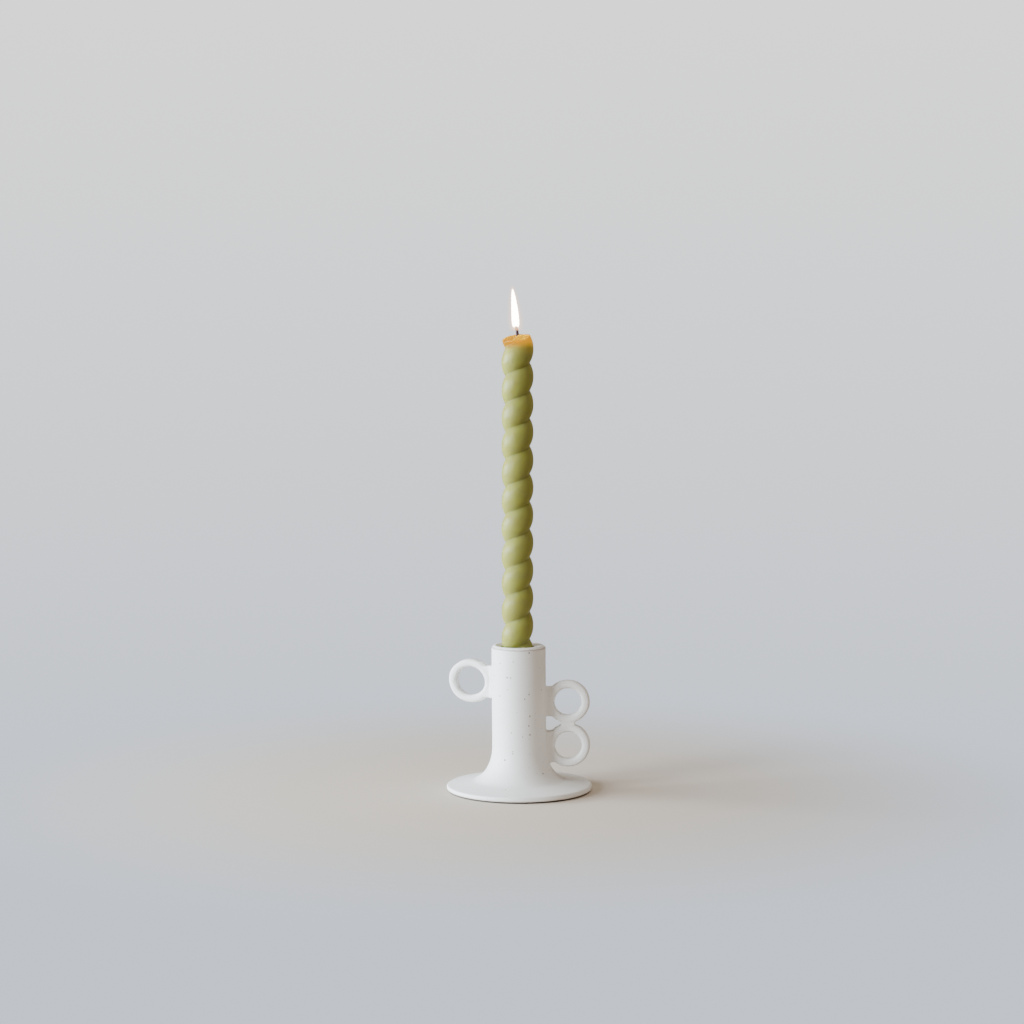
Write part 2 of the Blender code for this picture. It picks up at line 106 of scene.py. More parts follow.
camera_data = bpy.data.cameras.new("camera")
camera_data.lens = LENS
camera_data.sensor_width = 36.0
camera = bpy.data.objects.new("camera", camera_data)
camera.location = CAMERA_PLACE
camera.rotation_euler = (math.pi / 2 - CAMERA_TILT, 0.0, 0.0)
bpy.context.scene.collection.objects.link(camera)
bpy.context.scene.camera = camera
print("camera looks", round(math.degrees(CAMERA_TILT), 1), "degrees down")

# %% [markdown]
# Daylight comes from two windows on the left: one in front, which also reaches the rings on
# the far side, and a wider one straight from the side. Both stand low. A weak warm light on
# the right stands for daylight that comes back off pale furniture, and another overhead for
# what the ceiling sends down. The world gives the even warm grey that fills the shadows. An
# area light that is wide compared with the object gives the slow change from light to shade
# that matte glaze shows.

# %% Place the lights
def area_light(name, place, target, width, height, power, colour):
    data = bpy.data.lights.new(name, "AREA")
    data.shape = "RECTANGLE"
    data.size = width
    data.size_y = height
    data.energy = power
    data.color = colour
    light = bpy.data.objects.new(name, data)
    light.visible_camera = False
    light.location = place
    light.rotation_euler = (Vector(target) - Vector(place)).to_track_quat("-Z", "Y").to_euler()
    bpy.context.scene.collection.objects.link(light)
    return light


LIGHT_TARGET = (0.0, 0.0, 0.15)
area_light("window", (-1.45, -0.98, 0.50), LIGHT_TARGET, 0.6, 0.9, 56.0, (0.85, 0.93, 1.0))
area_light("side_window", (-1.75, 0.06, 0.36), LIGHT_TARGET, 1.2, 0.6, 120.0, (0.81, 0.91, 1.0))
area_light("warm_return", (1.2, -0.8, 0.30), LIGHT_TARGET, 0.9, 0.9, 3.0, (1.0, 0.82, 0.66))
area_light("ceiling", (0.35, 0.15, 1.35), LIGHT_TARGET, 0.9, 0.9, 5.0, (1.0, 0.94, 0.86))

# %% [markdown]
# The world's colour does two jobs. It lights the shadows, and it is the pale wall behind
# the holder. The Light Path node keeps the two apart, so that each can be set by itself.

# %% Paint the world
WALL_LOW = (0.87, 0.96, 1.12)
WALL_HIGH = (1.53, 1.54, 1.53)
FILL_COLOUR = (1.0, 0.82, 0.64)
FILL_STRENGTH = 0.29

world = bpy.data.worlds.new("studio")
world.use_nodes = True
bpy.context.scene.world = world
nodes = world.node_tree.nodes
links = world.node_tree.links
nodes.clear()
output = nodes.new("ShaderNodeOutputWorld")
mix = nodes.new("ShaderNodeMixShader")
path = nodes.new("ShaderNodeLightPath")
fill = nodes.new("ShaderNodeBackground")
wall = nodes.new("ShaderNodeBackground")
place_in_sky = nodes.new("ShaderNodeTexCoord")
split = nodes.new("ShaderNodeSeparateXYZ")
ramp = nodes.new("ShaderNodeMapRange")
blend = nodes.new("ShaderNodeMix")
blend.data_type = "RGBA"
fill.inputs["Color"].default_value = (*FILL_COLOUR, 1.0)
fill.inputs["Strength"].default_value = FILL_STRENGTH
ramp.inputs["From Min"].default_value = -0.20
ramp.inputs["From Max"].default_value = 0.12
blend.inputs["A"].default_value = (*WALL_LOW, 1.0)
blend.inputs["B"].default_value = (*WALL_HIGH, 1.0)
links.new(place_in_sky.outputs["Generated"], split.inputs["Vector"])
links.new(split.outputs["Z"], ramp.inputs["Value"])
links.new(ramp.outputs["Result"], blend.inputs["Factor"])
links.new(blend.outputs["Result"], wall.inputs["Color"])
links.new(path.outputs["Is Camera Ray"], mix.inputs["Fac"])
links.new(fill.outputs["Background"], mix.inputs[1])
links.new(wall.outputs["Background"], mix.inputs[2])
links.new(mix.outputs["Shader"], output.inputs["Surface"])
print("world: fill", FILL_STRENGTH)

# %% [markdown]
# ## Tools for the pieces
# A turned piece is an outline spun round its axis by the Screw modifier. The modifier is
# then made real, because the next steps move single points, and a thrown pot is never
# quite round.

# %% Helpers for turned pieces
def evaluated_mesh(item):
    """The item's mesh as its modifiers show it. The item itself is removed."""
    bpy.context.view_layer.update()
    seen = item.evaluated_get(bpy.context.evaluated_depsgraph_get())
    mesh = bpy.data.meshes.new_from_object(seen)
    bpy.data.objects.remove(item, do_unlink=True)
    return mesh


def mesh_from(name, shape):
    """Turn an edited shape into a mesh, and let the shape go."""
    mesh = bpy.data.meshes.new(name)
    shape.to_mesh(mesh)
    shape.free()
    return mesh


def show(name, mesh):
    """Put a finished mesh in the scene as a named, smoothly shaded piece."""
    mesh.name = name
    mesh.materials.clear()
    mesh.shade_smooth()
    piece = bpy.data.objects.new(name, mesh)
    bpy.context.scene.collection.objects.link(piece)
    return piece


def get_points(mesh):
    flat = np.empty(len(mesh.vertices) * 3)
    mesh.vertices.foreach_get("co", flat)
    return flat.reshape(-1, 3)


def set_points(mesh, points):
    mesh.vertices.foreach_set("co", np.ascontiguousarray(points).ravel())
    mesh.update()


def arc(centre, across, up, start, end, steps):
    """Points on an ellipse about centre, from one angle to another."""
    angles = np.linspace(start, end, steps + 1)
    return [(centre[0] + across * math.cos(a), centre[1] + up * math.sin(a)) for a in angles]


def evenly(points, spacing):
    """Add points so that no step along an outline is longer than spacing."""
    dense = [points[0]]
    for a, b in zip(points, points[1:]):
        parts = max(1, math.ceil(math.dist(a, b) / spacing))
        for i in range(1, parts + 1):
            dense.append((a[0] + (b[0] - a[0]) * i / parts, a[1] + (b[1] - a[1]) * i / parts))
    return dense


def turned_mesh(outline, steps, spacing=0.8 * MM):
    dense = evenly(outline, spacing)
    mesh = bpy.data.meshes.new("outline")
    mesh.from_pydata([(r, 0.0, z) for r, z in dense],
                     [(i, i + 1) for i in range(len(dense) - 1)], [])
    item = bpy.data.objects.new("outline", mesh)
    bpy.context.scene.collection.objects.link(item)
    screw = item.modifiers.new("turn", "SCREW")
    screw.steps = steps
    screw.render_steps = steps
    screw.use_merge_vertices = True
    screw.merge_threshold = 0.00001
    return evaluated_mesh(item)


def smoothstep(low, high, value):
    t = np.clip((value - low) / (high - low), 0.0, 1.0)
    return t * t * (3.0 - 2.0 * t)


def soft_noise(points, scale, seed):
    """Smooth noise from -1 to 1 at each point, with lumps about scale across."""
    shift = Vector((seed * 7.13, seed * 3.71, seed * 5.37))
    return np.array([noise.noise(Vector(p) / scale + shift) for p in points])

# %% [markdown]
# ## The thrown column and foot
# On the wheel this is one pull of clay: a straight tube that flares into a flat foot,
# with a socket opened in its top and a hollow left underneath. Its outline is drawn from
# a few arcs: the rounded foot, the sweep of the flare and the soft lip, whose crest stands
# a little above its outer corner. Turning gives a perfect shape, so afterwards the rim is
# leant over a trace, the socket is set where the taper stands, the foot is warped by less
# than half a millimetre, and very shallow noise stands for the marks of fingers.

# %% Outline of the column and foot
FOOT_EDGE = 3.4 * MM
FOOT_SLOPE = 0.17
FLARE_REACH = 17.0 * MM
FLARE_HEIGHT = 24.0 * MM
SOCKET_RADIUS = 11.7 * MM
SOCKET_FLOOR = RIM_HEIGHT - 30.0 * MM
HOLLOW_RADIUS = 13.5 * MM
LIP_INSET = 2.6 * MM
SOCKET_ROUND = 1.0 * MM
LIP_ROUND = (1.6 * MM, 1.0 * MM)
CORNER_ROUND = 0.55 * MM
FOOT_TOP_ROUND = 1.3 * MM
FOOT_LOW_ROUND = 0.9 * MM
HOLLOW_ROUND = 3 * MM
SOCKET_FLOOR_THICKNESS = 5 * MM


def body_outline():
    wall = COLUMN_RADIUS
    socket = SOCKET_ROUND
    points = [(0.0, SOCKET_FLOOR), (SOCKET_RADIUS - socket, SOCKET_FLOOR)]
    points += arc((SOCKET_RADIUS - socket, SOCKET_FLOOR + socket), socket, socket,
                  -math.pi / 2, 0.0, 4)[1:]
    points += arc((SOCKET_RADIUS + socket, RIM_HEIGHT - 1.6 * MM), socket, 0.9 * MM,
                  math.pi, math.pi / 2 + 0.25, 6)
    points += arc((wall - LIP_INSET, RIM_HEIGHT - LIP_ROUND[1]), *LIP_ROUND,
                  math.radians(118), math.radians(38), 8)
    points += arc((wall - CORNER_ROUND, RIM_HEIGHT - 1.75 * MM), CORNER_ROUND, CORNER_ROUND,
                  math.radians(62), 0.0, 5)
    foot_top = FOOT_UNDERSIDE + FOOT_EDGE
    meet = math.atan2(FLARE_HEIGHT, FLARE_REACH * FOOT_SLOPE)
    points += arc((wall + FLARE_REACH, FLARE_TOP), FLARE_REACH, FLARE_HEIGHT,
                  math.pi, math.pi + meet, 28)
    top, low = FOOT_TOP_ROUND, FOOT_LOW_ROUND
    points += arc((FOOT_RADIUS - top, foot_top - top), top, top, math.radians(80), 0.0, 7)
    points += arc((FOOT_RADIUS - low, FOOT_UNDERSIDE + low), low, low, 0.0, -math.pi / 2, 6)
    inner = HOLLOW_ROUND
    roof = SOCKET_FLOOR - SOCKET_FLOOR_THICKNESS
    points += arc((HOLLOW_RADIUS + inner, FOOT_UNDERSIDE + inner), inner, inner,
                  math.pi * 1.5, math.pi, 6)
    points += [(HOLLOW_RADIUS, roof - inner)]
    points += arc((HOLLOW_RADIUS - inner, roof - inner), inner, inner, 0.0, math.pi / 2, 5)[1:]
    points += [(0.0, roof)]
    return points


body_mesh = turned_mesh(body_outline(), 176)
print("column and foot:", len(body_mesh.vertices), "points")

# %% Give the thrown piece its hand-made irregularity
FOOT_WARP = 0.45 * MM
WALL_WOBBLE = 0.10 * MM
FINGER_MARK = 0.012 * MM
FINGER_SPACING = 3.4 * MM


def hand_thrown(points):
    moved = points.copy()
    x, y, z = points.T
    radius = np.hypot(x, y)
    climb = np.clip((z - FLARE_TOP) / (RIM_HEIGHT - FLARE_TOP), 0.0, 1.0)
    moved[:, 0] += RIM_LEAN * climb
    in_socket = 1.0 - smoothstep(SOCKET_RADIUS, COLUMN_RADIUS - LIP_INSET, radius)
    in_socket *= z > SOCKET_FLOOR - MM
    moved[:, 0] += (TAPER_AXIS_X - RIM_LEAN) * in_socket
    on_top = smoothstep(FOOT_UNDERSIDE + 0.4 * MM, FOOT_UNDERSIDE + 2.6 * MM, z)
    outside = smoothstep(17.5 * MM, 24 * MM, radius)
    moved[:, 2] += FOOT_WARP * on_top * outside * x / FOOT_RADIUS
    lumps = soft_noise(points * (1.0, 1.0, 1.6), 16 * MM, 1.0)
    rings = np.sin(z / FINGER_SPACING * 2 * math.pi + 2.0 * soft_noise(points, 30 * MM, 2.0))
    swell = WALL_WOBBLE * lumps + FINGER_MARK * rings
    swell *= smoothstep(15.0 * MM, 18.0 * MM, radius)
    away = np.stack([x, y], axis=1) / np.maximum(radius, MM)[:, None]
    moved[:, :2] += away * swell[:, None]
    return moved


set_points(body_mesh, hand_thrown(get_points(body_mesh)))
column = show("glazed_column_and_foot", body_mesh)

# %% [markdown]
# ## The finger rings
# A potter rolls a coil of clay, bends it into a ring, scores it and presses it against the
# column with slip, then wipes the join smooth. The coil can be made as a curve: a circle,
# with a second small curve as its cross-section. That section is a superellipse, between a
# circle and a rounded square, because the coil is patted flat on its faces. Noise then
# makes the coil a little thicker in some places than in others, as rolling leaves it.

# %% Bend a coil into a ring
COIL_DEPTH = 7.0 * MM
SECTION_POWER = 2 / 2.7
COIL_WOBBLE = 0.30 * MM


class Coil:
    """A coil's thickness, the ring's radius along its middle, and its width over height."""

    def __init__(self, hole_radius, thickness, stretch=1.0):
        self.thickness = thickness
        self.radius = hole_radius + thickness / 2
        self.stretch = stretch
        self.outer_reach = (hole_radius + thickness) * stretch


RIGHT_COIL = Coil(9.3 * MM, 6.0 * MM)
LEFT_COIL = Coil(10.0 * MM, 5.4 * MM, 1.12)


def coil_section(coil):
    curve = bpy.data.curves.new("coil_section", "CURVE")
    curve.dimensions = "2D"
    spline = curve.splines.new("POLY")
    count = 40
    spline.points.add(count - 1)
    for i, point in enumerate(spline.points):
        angle = 2 * math.pi * i / count
        c, s = math.cos(angle), math.sin(angle)
        across = math.copysign(abs(c) ** SECTION_POWER, c) * coil.thickness / 2
        deep = math.copysign(abs(s) ** SECTION_POWER, s) * COIL_DEPTH / 2
        point.co = (across, deep, 0.0, 1.0)
    spline.use_cyclic_u = True
    section = bpy.data.objects.new("coil_section", curve)
    bpy.context.scene.collection.objects.link(section)
    return section


def coil_ring(coil, frame_of_ring, reach):
    """A ring of clay in the frame of its own join: X runs out from the column."""
    section = coil_section(coil)
    bpy.ops.curve.primitive_bezier_circle_add(radius=coil.radius)
    circle = bpy.context.active_object
    circle.data.resolution_u = 40
    circle.data.bevel_mode = "OBJECT"
    circle.data.bevel_object = section
    mesh = evaluated_mesh(circle)
    bpy.data.objects.remove(section, do_unlink=True)
    mesh.transform(frame_of_ring @ Matrix.Translation((reach, 0.0, 0.0))
                   @ Matrix.Rotation(math.pi / 2, 4, "X")
                   @ Matrix.Diagonal((coil.stretch, 1.0, 1.0, 1.0)))
    points = get_points(mesh)
    normals = np.array([vert.normal for vert in mesh.vertices])
    uneven = COIL_WOBBLE * soft_noise(points, 11 * MM, 3.0)
    set_points(mesh, points + normals * uneven[:, None])
    return mesh


test_ring = coil_ring(RIGHT_COIL, Matrix.Identity(4), 0.0)
size = get_points(test_ring).max(axis=0) - get_points(test_ring).min(axis=0)
print("a ring measures", [round(v / MM, 1) for v in size], "mm")
bpy.data.meshes.remove(test_ring)

# %% [markdown]
# The join is the hard part, since the slip flows from the column into the coil with no
# edge. The steps copy the potter's: put the coil, a web of slip and a slice of the column
# together, melt them into one skin with a fine voxel remesh, then wipe the corners smooth
# by moving each point towards its neighbours. The coil itself must stay crisp, so points
# far from the join are put back on the coil.

# %% Helpers that fuse and wipe clay
VOXEL = 0.32 * MM
WIPE_ROUNDS = 26
WIPE_SPREAD = 6
WIPE_PULL = 0.6
STILL_ON_COIL = 0.30 * MM


def piled(meshes):
    """All the meshes as one loose shape."""
    pile = bmesh.new()
    for mesh in meshes:
        pile.from_mesh(mesh)
    return pile


def fuse(meshes, voxel=VOXEL):
    """Melt closed meshes that overlap into one even skin."""
    item = bpy.data.objects.new("pile", mesh_from("pile", piled(meshes)))
    bpy.context.scene.collection.objects.link(item)
    remesh = item.modifiers.new("melt", "REMESH")
    remesh.mode = "VOXEL"
    remesh.voxel_size = voxel
    return evaluated_mesh(item)


def neighbour_mean(values, edges, counts):
    """For every point, the mean of a value over the points joined to it."""
    a, b = edges.T
    columns = []
    for column_values in values.T:
        total = np.bincount(a, column_values[b], len(counts))
        total += np.bincount(b, column_values[a], len(counts))
        columns.append(total / counts)
    return np.stack(columns, axis=1)


def edge_list(mesh):
    flat = np.empty(len(mesh.edges) * 2, dtype=np.int64)
    mesh.edges.foreach_get("vertices", flat)
    edges = flat.reshape(-1, 2)
    counts = np.bincount(edges.ravel(), minlength=len(mesh.vertices)).astype(float)
    return edges, np.maximum(counts, 1.0)


def tree_of(meshes):
    pile = piled(meshes)
    tree = BVHTree.FromBMesh(pile)
    pile.free()
    return tree


def nearest(tree, points):
    """Nearest point of a surface, its outward normal, and the signed distance to it."""
    spots = np.empty_like(points)
    normals = np.empty_like(points)
    for i, point in enumerate(points):
        spot, normal, _, _ = tree.find_nearest(Vector(point))
        spots[i] = spot
        normals[i] = normal
    height = np.einsum("ij,ij->i", points - spots, normals)
    return spots, normals, height


def wipe_smooth(mesh, crisp_tree):
    """Round every corner of the slip, and leave the crisp surface as it was made."""
    points = get_points(mesh)
    edges, counts = edge_list(mesh)
    _, _, height = nearest(crisp_tree, points)
    loose = (np.abs(height) > STILL_ON_COIL).astype(float)[:, None]
    for _ in range(WIPE_SPREAD):
        loose = np.maximum(loose, neighbour_mean(loose, edges, counts))
    loose = smoothstep(0.02, 0.6, loose)
    for _ in range(WIPE_ROUNDS):
        points += WIPE_PULL * loose * (neighbour_mean(points, edges, counts) - points)
    spots, _, _ = nearest(crisp_tree, points)
    points += (1.0 - loose) * (spots - points)
    set_points(mesh, points)


def feather(mesh, host_tree, sink=0.06 * MM, reach=0.16 * MM):
    """Sink the skirt of a join just under the surface it is pressed on."""
    points = get_points(mesh)
    _, normals, height = nearest(host_tree, points)
    buried = 1.0 - smoothstep(0.02 * MM, reach, height)
    buried *= smoothstep(-0.5 * MM, -0.2 * MM, height)
    points -= normals * (buried * sink)[:, None]
    set_points(mesh, points)

# %% [markdown]
# Each ring needs its web of slip and a slice of the column to flow into. The web is a flat
# outline with thickness, drawn in the frame of the join: it starts inside the column and
# ends inside the coil. The slice is a patch of the column's own wall, a little larger than
# the join.

# %% Webs of slip and slices of the column
SLICE_DEPTH = 2.5 * MM
SLICE_HALF_ANGLE = math.radians(36)
SLICE_MARGIN = 6 * MM


def web_mesh(coil, frame_of_ring, reach, roots, hold_angle, depth, root_reach):
    """A flat web from inside the column to the middle of the coil."""
    hold_x = reach - coil.radius * coil.stretch * math.cos(hold_angle)
    hold_z = (coil.radius + 0.8 * MM) * math.sin(hold_angle)
    upper_root, lower_root = roots
    outline = [(COLUMN_RADIUS - SLICE_DEPTH, upper_root), (root_reach, upper_root),
               (hold_x, hold_z)]
    outline += arc((reach, 0.0), -coil.radius * coil.stretch, coil.radius,
                   hold_angle, -hold_angle, 14)
    outline += [(hold_x, -hold_z), (root_reach, -lower_root),
                (COLUMN_RADIUS - SLICE_DEPTH, -lower_root)]
    web = bmesh.new()
    face = web.faces.new([web.verts.new((x, -depth / 2, z)) for x, z in outline])
    grown = bmesh.ops.extrude_face_region(web, geom=[face])
    back = [v for v in grown["geom"] if isinstance(v, bmesh.types.BMVert)]
    bmesh.ops.translate(web, vec=(0.0, depth, 0.0), verts=back)
    bmesh.ops.recalc_face_normals(web, faces=web.faces)
    mesh = mesh_from("web", web)
    mesh.transform(frame_of_ring)
    return mesh


def column_slice(azimuth, height, half_height):
    """A closed patch of the column's wall that follows the real wall."""
    rows, columns_count = 90, 60
    patch = bmesh.new()
    grid = {}
    for layer, depth in enumerate((0.0, SLICE_DEPTH)):
        for i in range(rows + 1):
            z = height + half_height * (2 * i / rows - 1)
            for j in range(columns_count + 1):
                turn = azimuth + SLICE_HALF_ANGLE * (2 * j / columns_count - 1)
                radius = wall_radius(z) - depth
                grid[layer, i, j] = patch.verts.new(
                    (radius * math.cos(turn), radius * math.sin(turn), z))
    for i in range(rows):
        for j in range(columns_count):
            patch.faces.new([grid[0, i, j], grid[0, i, j + 1], grid[0, i + 1, j + 1],
                             grid[0, i + 1, j]])
            patch.faces.new([grid[1, i, j], grid[1, i + 1, j], grid[1, i + 1, j + 1],
                             grid[1, i, j + 1]])
    border = [(i, 0) for i in range(rows)] + [(rows, j) for j in range(columns_count)]
    border += [(rows - i, columns_count) for i in range(rows)]
    border += [(0, columns_count - j) for j in range(columns_count)]
    for a, b in zip(border, border[1:] + border[:1]):
        patch.faces.new([grid[0, a[0], a[1]], grid[0, b[0], b[1]],
                         grid[1, b[0], b[1]], grid[1, a[0], a[1]]])
    bmesh.ops.recalc_face_normals(patch, faces=patch.faces)
    mesh = mesh_from("slice", patch)
    set_points(mesh, hand_thrown(get_points(mesh)))
    return mesh


def wall_radius(z):
    """Radius of the column or of its flare at a height."""
    if z >= FLARE_TOP:
        return COLUMN_RADIUS
    drop = min(1.0, (FLARE_TOP - z) / FLARE_HEIGHT)
    return COLUMN_RADIUS + FLARE_REACH * (1.0 - math.sqrt(1.0 - drop * drop))

# %% [markdown]
# The left ring is larger than the others and was drawn out into an oval. It stands on a
# squarish lug, and its plane is turned away by about 26 degrees. The two on the right
# almost touch the wall, so their slip fills only the corners between ring and wall.

# %% Press the three rings on
LUG_SIZE = (4.4 * MM, 9.0 * MM, 23.0 * MM)
LUG_RISE = 0.3 * MM

body_tree = tree_of([column.data])


def ring_place(coil, node, azimuth, height):
    """The frame of a ring's join, and how far out the ring's middle is."""
    outward = (math.cos(azimuth), math.sin(azimuth), 0.0)
    reach = (points_of(node) @ outward).max() - coil.outer_reach
    return Matrix.Translation((0.0, 0.0, height)) @ Matrix.Rotation(azimuth, 4, "Z"), reach


def pressed_ring(name, coil, node, azimuth, height, roots, hold_angle, depth, root_reach,
                 extra=()):
    place, reach = ring_place(coil, node, azimuth, height)
    ring = coil_ring(coil, place, reach)
    web = web_mesh(coil, place, reach, roots, hold_angle, depth, root_reach)
    wall = column_slice(azimuth, height, max(roots) + SLICE_MARGIN)
    skin = fuse([ring, web, wall] + [make(place) for make in extra])
    wipe_smooth(skin, tree_of([ring]))
    feather(skin, body_tree)
    print(name, "reach", round(reach / MM, 2), "mm,", len(skin.vertices), "points")
    return show(name, skin)


def left_lug(place):
    """The squarish pad of clay that the left ring's web grows out of."""
    pad = bmesh.new()
    bmesh.ops.create_cube(pad, size=1.0)
    bmesh.ops.transform(pad, verts=pad.verts, matrix=place
                        @ Matrix.Translation((COLUMN_RADIUS, 0.0, LUG_RISE))
                        @ Matrix.Diagonal((*LUG_SIZE, 1.0)))
    return mesh_from("lug", pad)


LEFT_AZIMUTH = math.radians(154.0)
left_z = middle("left_ring").z
lower_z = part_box("lower_right_ring")[0][2] + RIGHT_COIL.outer_reach
upper_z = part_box("upper_right_ring")[1][2] - RIGHT_COIL.outer_reach
left_ring = pressed_ring("left_finger_ring", LEFT_COIL, "left_ring", LEFT_AZIMUTH, left_z,
                         (11.9 * MM, 11.2 * MM), math.radians(54), 6.8 * MM,
                         COLUMN_RADIUS + 2.2 * MM, extra=(left_lug,))
upper_ring = pressed_ring("upper_right_finger_ring", RIGHT_COIL, "upper_right_ring", 0.0,
                          upper_z, (10.5 * MM, 10.2 * MM), math.radians(57), 7.0 * MM,
                          COLUMN_RADIUS + 1.4 * MM)
lower_ring = pressed_ring("lower_right_finger_ring", RIGHT_COIL, "lower_right_ring", 0.0,
                          lower_z, (10.2 * MM, 12.9 * MM), math.radians(57), 7.0 * MM,
                          COLUMN_RADIUS + 1.5 * MM)

# %% [markdown]
# The two right rings are stuck to each other with slip as well. The bridge is made the same
# way, from a small block and the two rings that it joins, cropped to their meeting place.

# %% Bridge the two right rings
BRIDGE_SIZE = (9.6 * MM, 5.4 * MM, 3.2 * MM)
CROP_SIZE = (19.0 * MM, 11.0 * MM, 11.0 * MM)
BRIDGE_VOXEL = 0.28 * MM


def block_mesh(centre, size):
    block = bmesh.new()
    bmesh.ops.create_cube(block, size=1.0)
    bmesh.ops.transform(block, verts=block.verts,
                        matrix=Matrix.Translation(centre) @ Matrix.Diagonal((*size, 1.0)))
    return mesh_from("block", block)


def cropped(mesh, centre, size):
    """The part of a closed mesh that lies inside a box, closed again."""
    item = bpy.data.objects.new("whole", mesh.copy())
    box = bpy.data.objects.new("box", block_mesh(centre, size))
    for each in (item, box):
        bpy.context.scene.collection.objects.link(each)
    common = item.modifiers.new("crop", "BOOLEAN")
    common.operation = "INTERSECT"
    common.solver = "EXACT"
    common.object = box
    result = evaluated_mesh(item)
    bpy.data.objects.remove(box, do_unlink=True)
    return result


meeting = middle("right_ring_bridge")
coils = []
for node, height in (("upper_right_ring", upper_z), ("lower_right_ring", lower_z)):
    place, reach = ring_place(RIGHT_COIL, node, 0.0, height)
    coils.append(coil_ring(RIGHT_COIL, place, reach))
stubs = [cropped(coil, meeting, CROP_SIZE) for coil in coils]
bridge_skin = fuse(stubs + [block_mesh(meeting, BRIDGE_SIZE)], BRIDGE_VOXEL)
wipe_smooth(bridge_skin, tree_of(coils))
feather(bridge_skin, tree_of(coils))
bridge = show("slip_bridge", bridge_skin)
print("bridge:", len(bridge_skin.vertices), "points")

# %% [markdown]
# ## The felt under the foot
# A disc of dark felt keeps the clay off the table. Its cut edge is all that shows: a thin
# dark line. Its near-black is the felt's own colour and also painted shade for the gap under
# the foot. A little noise on its radius makes the edge look like pressed fibres.

# %% Cut the felt
FELT_RADIUS, _, FELT_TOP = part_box("felt_pad")[1]
FELT_FUZZ = 0.0012


def felt_outline():
    edge = 0.15 * MM
    return [(0.0, FELT_TOP), (FELT_RADIUS - edge, FELT_TOP), (FELT_RADIUS, FELT_TOP - edge),
            (FELT_RADIUS, edge), (FELT_RADIUS - edge, 0.0), (0.0, 0.0)]


felt_mesh = turned_mesh(felt_outline(), 240, 1.5 * MM)
felt_points = get_points(felt_mesh)
fuzz = 1.0 + FELT_FUZZ * soft_noise(felt_points, 0.9 * MM, 4.0)
felt_points[:, :2] *= fuzz[:, None]
set_points(felt_mesh, felt_points)
felt = show("felt_disc", felt_mesh)
print("felt:", round(FELT_RADIUS / MM, 1), "mm in radius,", round(FELT_TOP / MM, 1), "mm thick")

# %% [markdown]
# ## The twisted taper
# The candle is one rope of wax twisted round itself, so its section has a single seam, and
# the seam climbs in a right-handed screw. The whole skin is one grid of points whose rows
# climb the taper. Its columns follow the screw, so that the sharp seam always falls on a
# line of points, and they straighten in the last turn, where fire has shaped the top.

# %% Section and screw of the taper
TAPER_RADIUS = 11.1 * MM
SEAM_RADIUS = 8.4 * MM
SEAM_SOFTNESS = 0.035
LOBE_FULLNESS = 2.3
TWIST_PITCH = 19.27 * MM
SEAM_START = math.radians(82.0)
TAPER_TOP = TAPER_BASE + 244.2 * MM
AROUND = 120
LAST_TURN = 20 * MM


def lobed(azimuth, z):
    """Radius of the taper in a direction, at a height above its base."""
    from_seam = (azimuth - SEAM_START - 2 * math.pi * z / TWIST_PITCH) % (2 * math.pi)
    share = 1.0 - np.abs(1.0 - from_seam / math.pi)
    share = np.sqrt(share ** 2 + SEAM_SOFTNESS ** 2) - SEAM_SOFTNESS * (1.0 - share)
    share = np.clip(share, 0.0, 1.0)
    return SEAM_RADIUS + (TAPER_RADIUS - SEAM_RADIUS) * (1 - (1 - share) ** LOBE_FULLNESS)


print("seam is", round((TAPER_RADIUS - SEAM_RADIUS) / MM, 1), "mm deep,",
      round((TAPER_TOP - TAPER_BASE) / TWIST_PITCH, 1), "turns")

# %% [markdown]
# The flame has eaten a crater into the top. Its wall stands high at the back and on the
# right, and has melted through to a low notch at the front, a little left of the middle.
# The wall's height is given at a few directions, with a smooth curve between them.

# %% Shape the burnt top
WALL_CREST = TAPER_TOP + 2.2 * MM
WALL_DROPS = ((-180, 4.1), (-155, 4.8), (-130, 4.3), (-107, 3.4), (-94, 0.9), (-80, 0.15),
              (-20, 0.1), (0, 0.5), (30, 0.1), (90, 0.05), (127, 1.3), (148, 2.6), (180, 4.1))
POOL_LEVEL = TAPER_TOP - 2.6 * MM
BED_LEVEL = POOL_LEVEL - 0.5 * MM
WALL_ROUND = 0.7 * MM
CRATER_SPAN = (0.56, 0.90)


def wall_level(azimuth):
    """Height of the crater's wall in a direction from the wick."""
    directions = [degrees for degrees, _ in WALL_DROPS]
    drops = [drop for _, drop in WALL_DROPS]
    level = 0.0
    for aside in (-8.0, -4.0, 0.0, 4.0, 8.0):
        degrees = (np.degrees(azimuth) + aside + 180.0) % 360.0 - 180.0
        level = level + (WALL_CREST - np.interp(degrees, directions, drops) * MM) / 5
    return level


def crater_height(share, wall):
    """Height of the burnt top, by the share of the way out from the wick."""
    rise = smoothstep(*CRATER_SPAN, share)
    return BED_LEVEL + (wall - BED_LEVEL) * rise


def tube_faces(rows, around):
    """The faces between the rows of a closed grid of points."""
    faces = []
    for i in range(rows - 1):
        for j in range(around):
            k = (j + 1) % around
            faces.append((i * around + j, i * around + k, (i + 1) * around + k,
                          (i + 1) * around + j))
    return faces


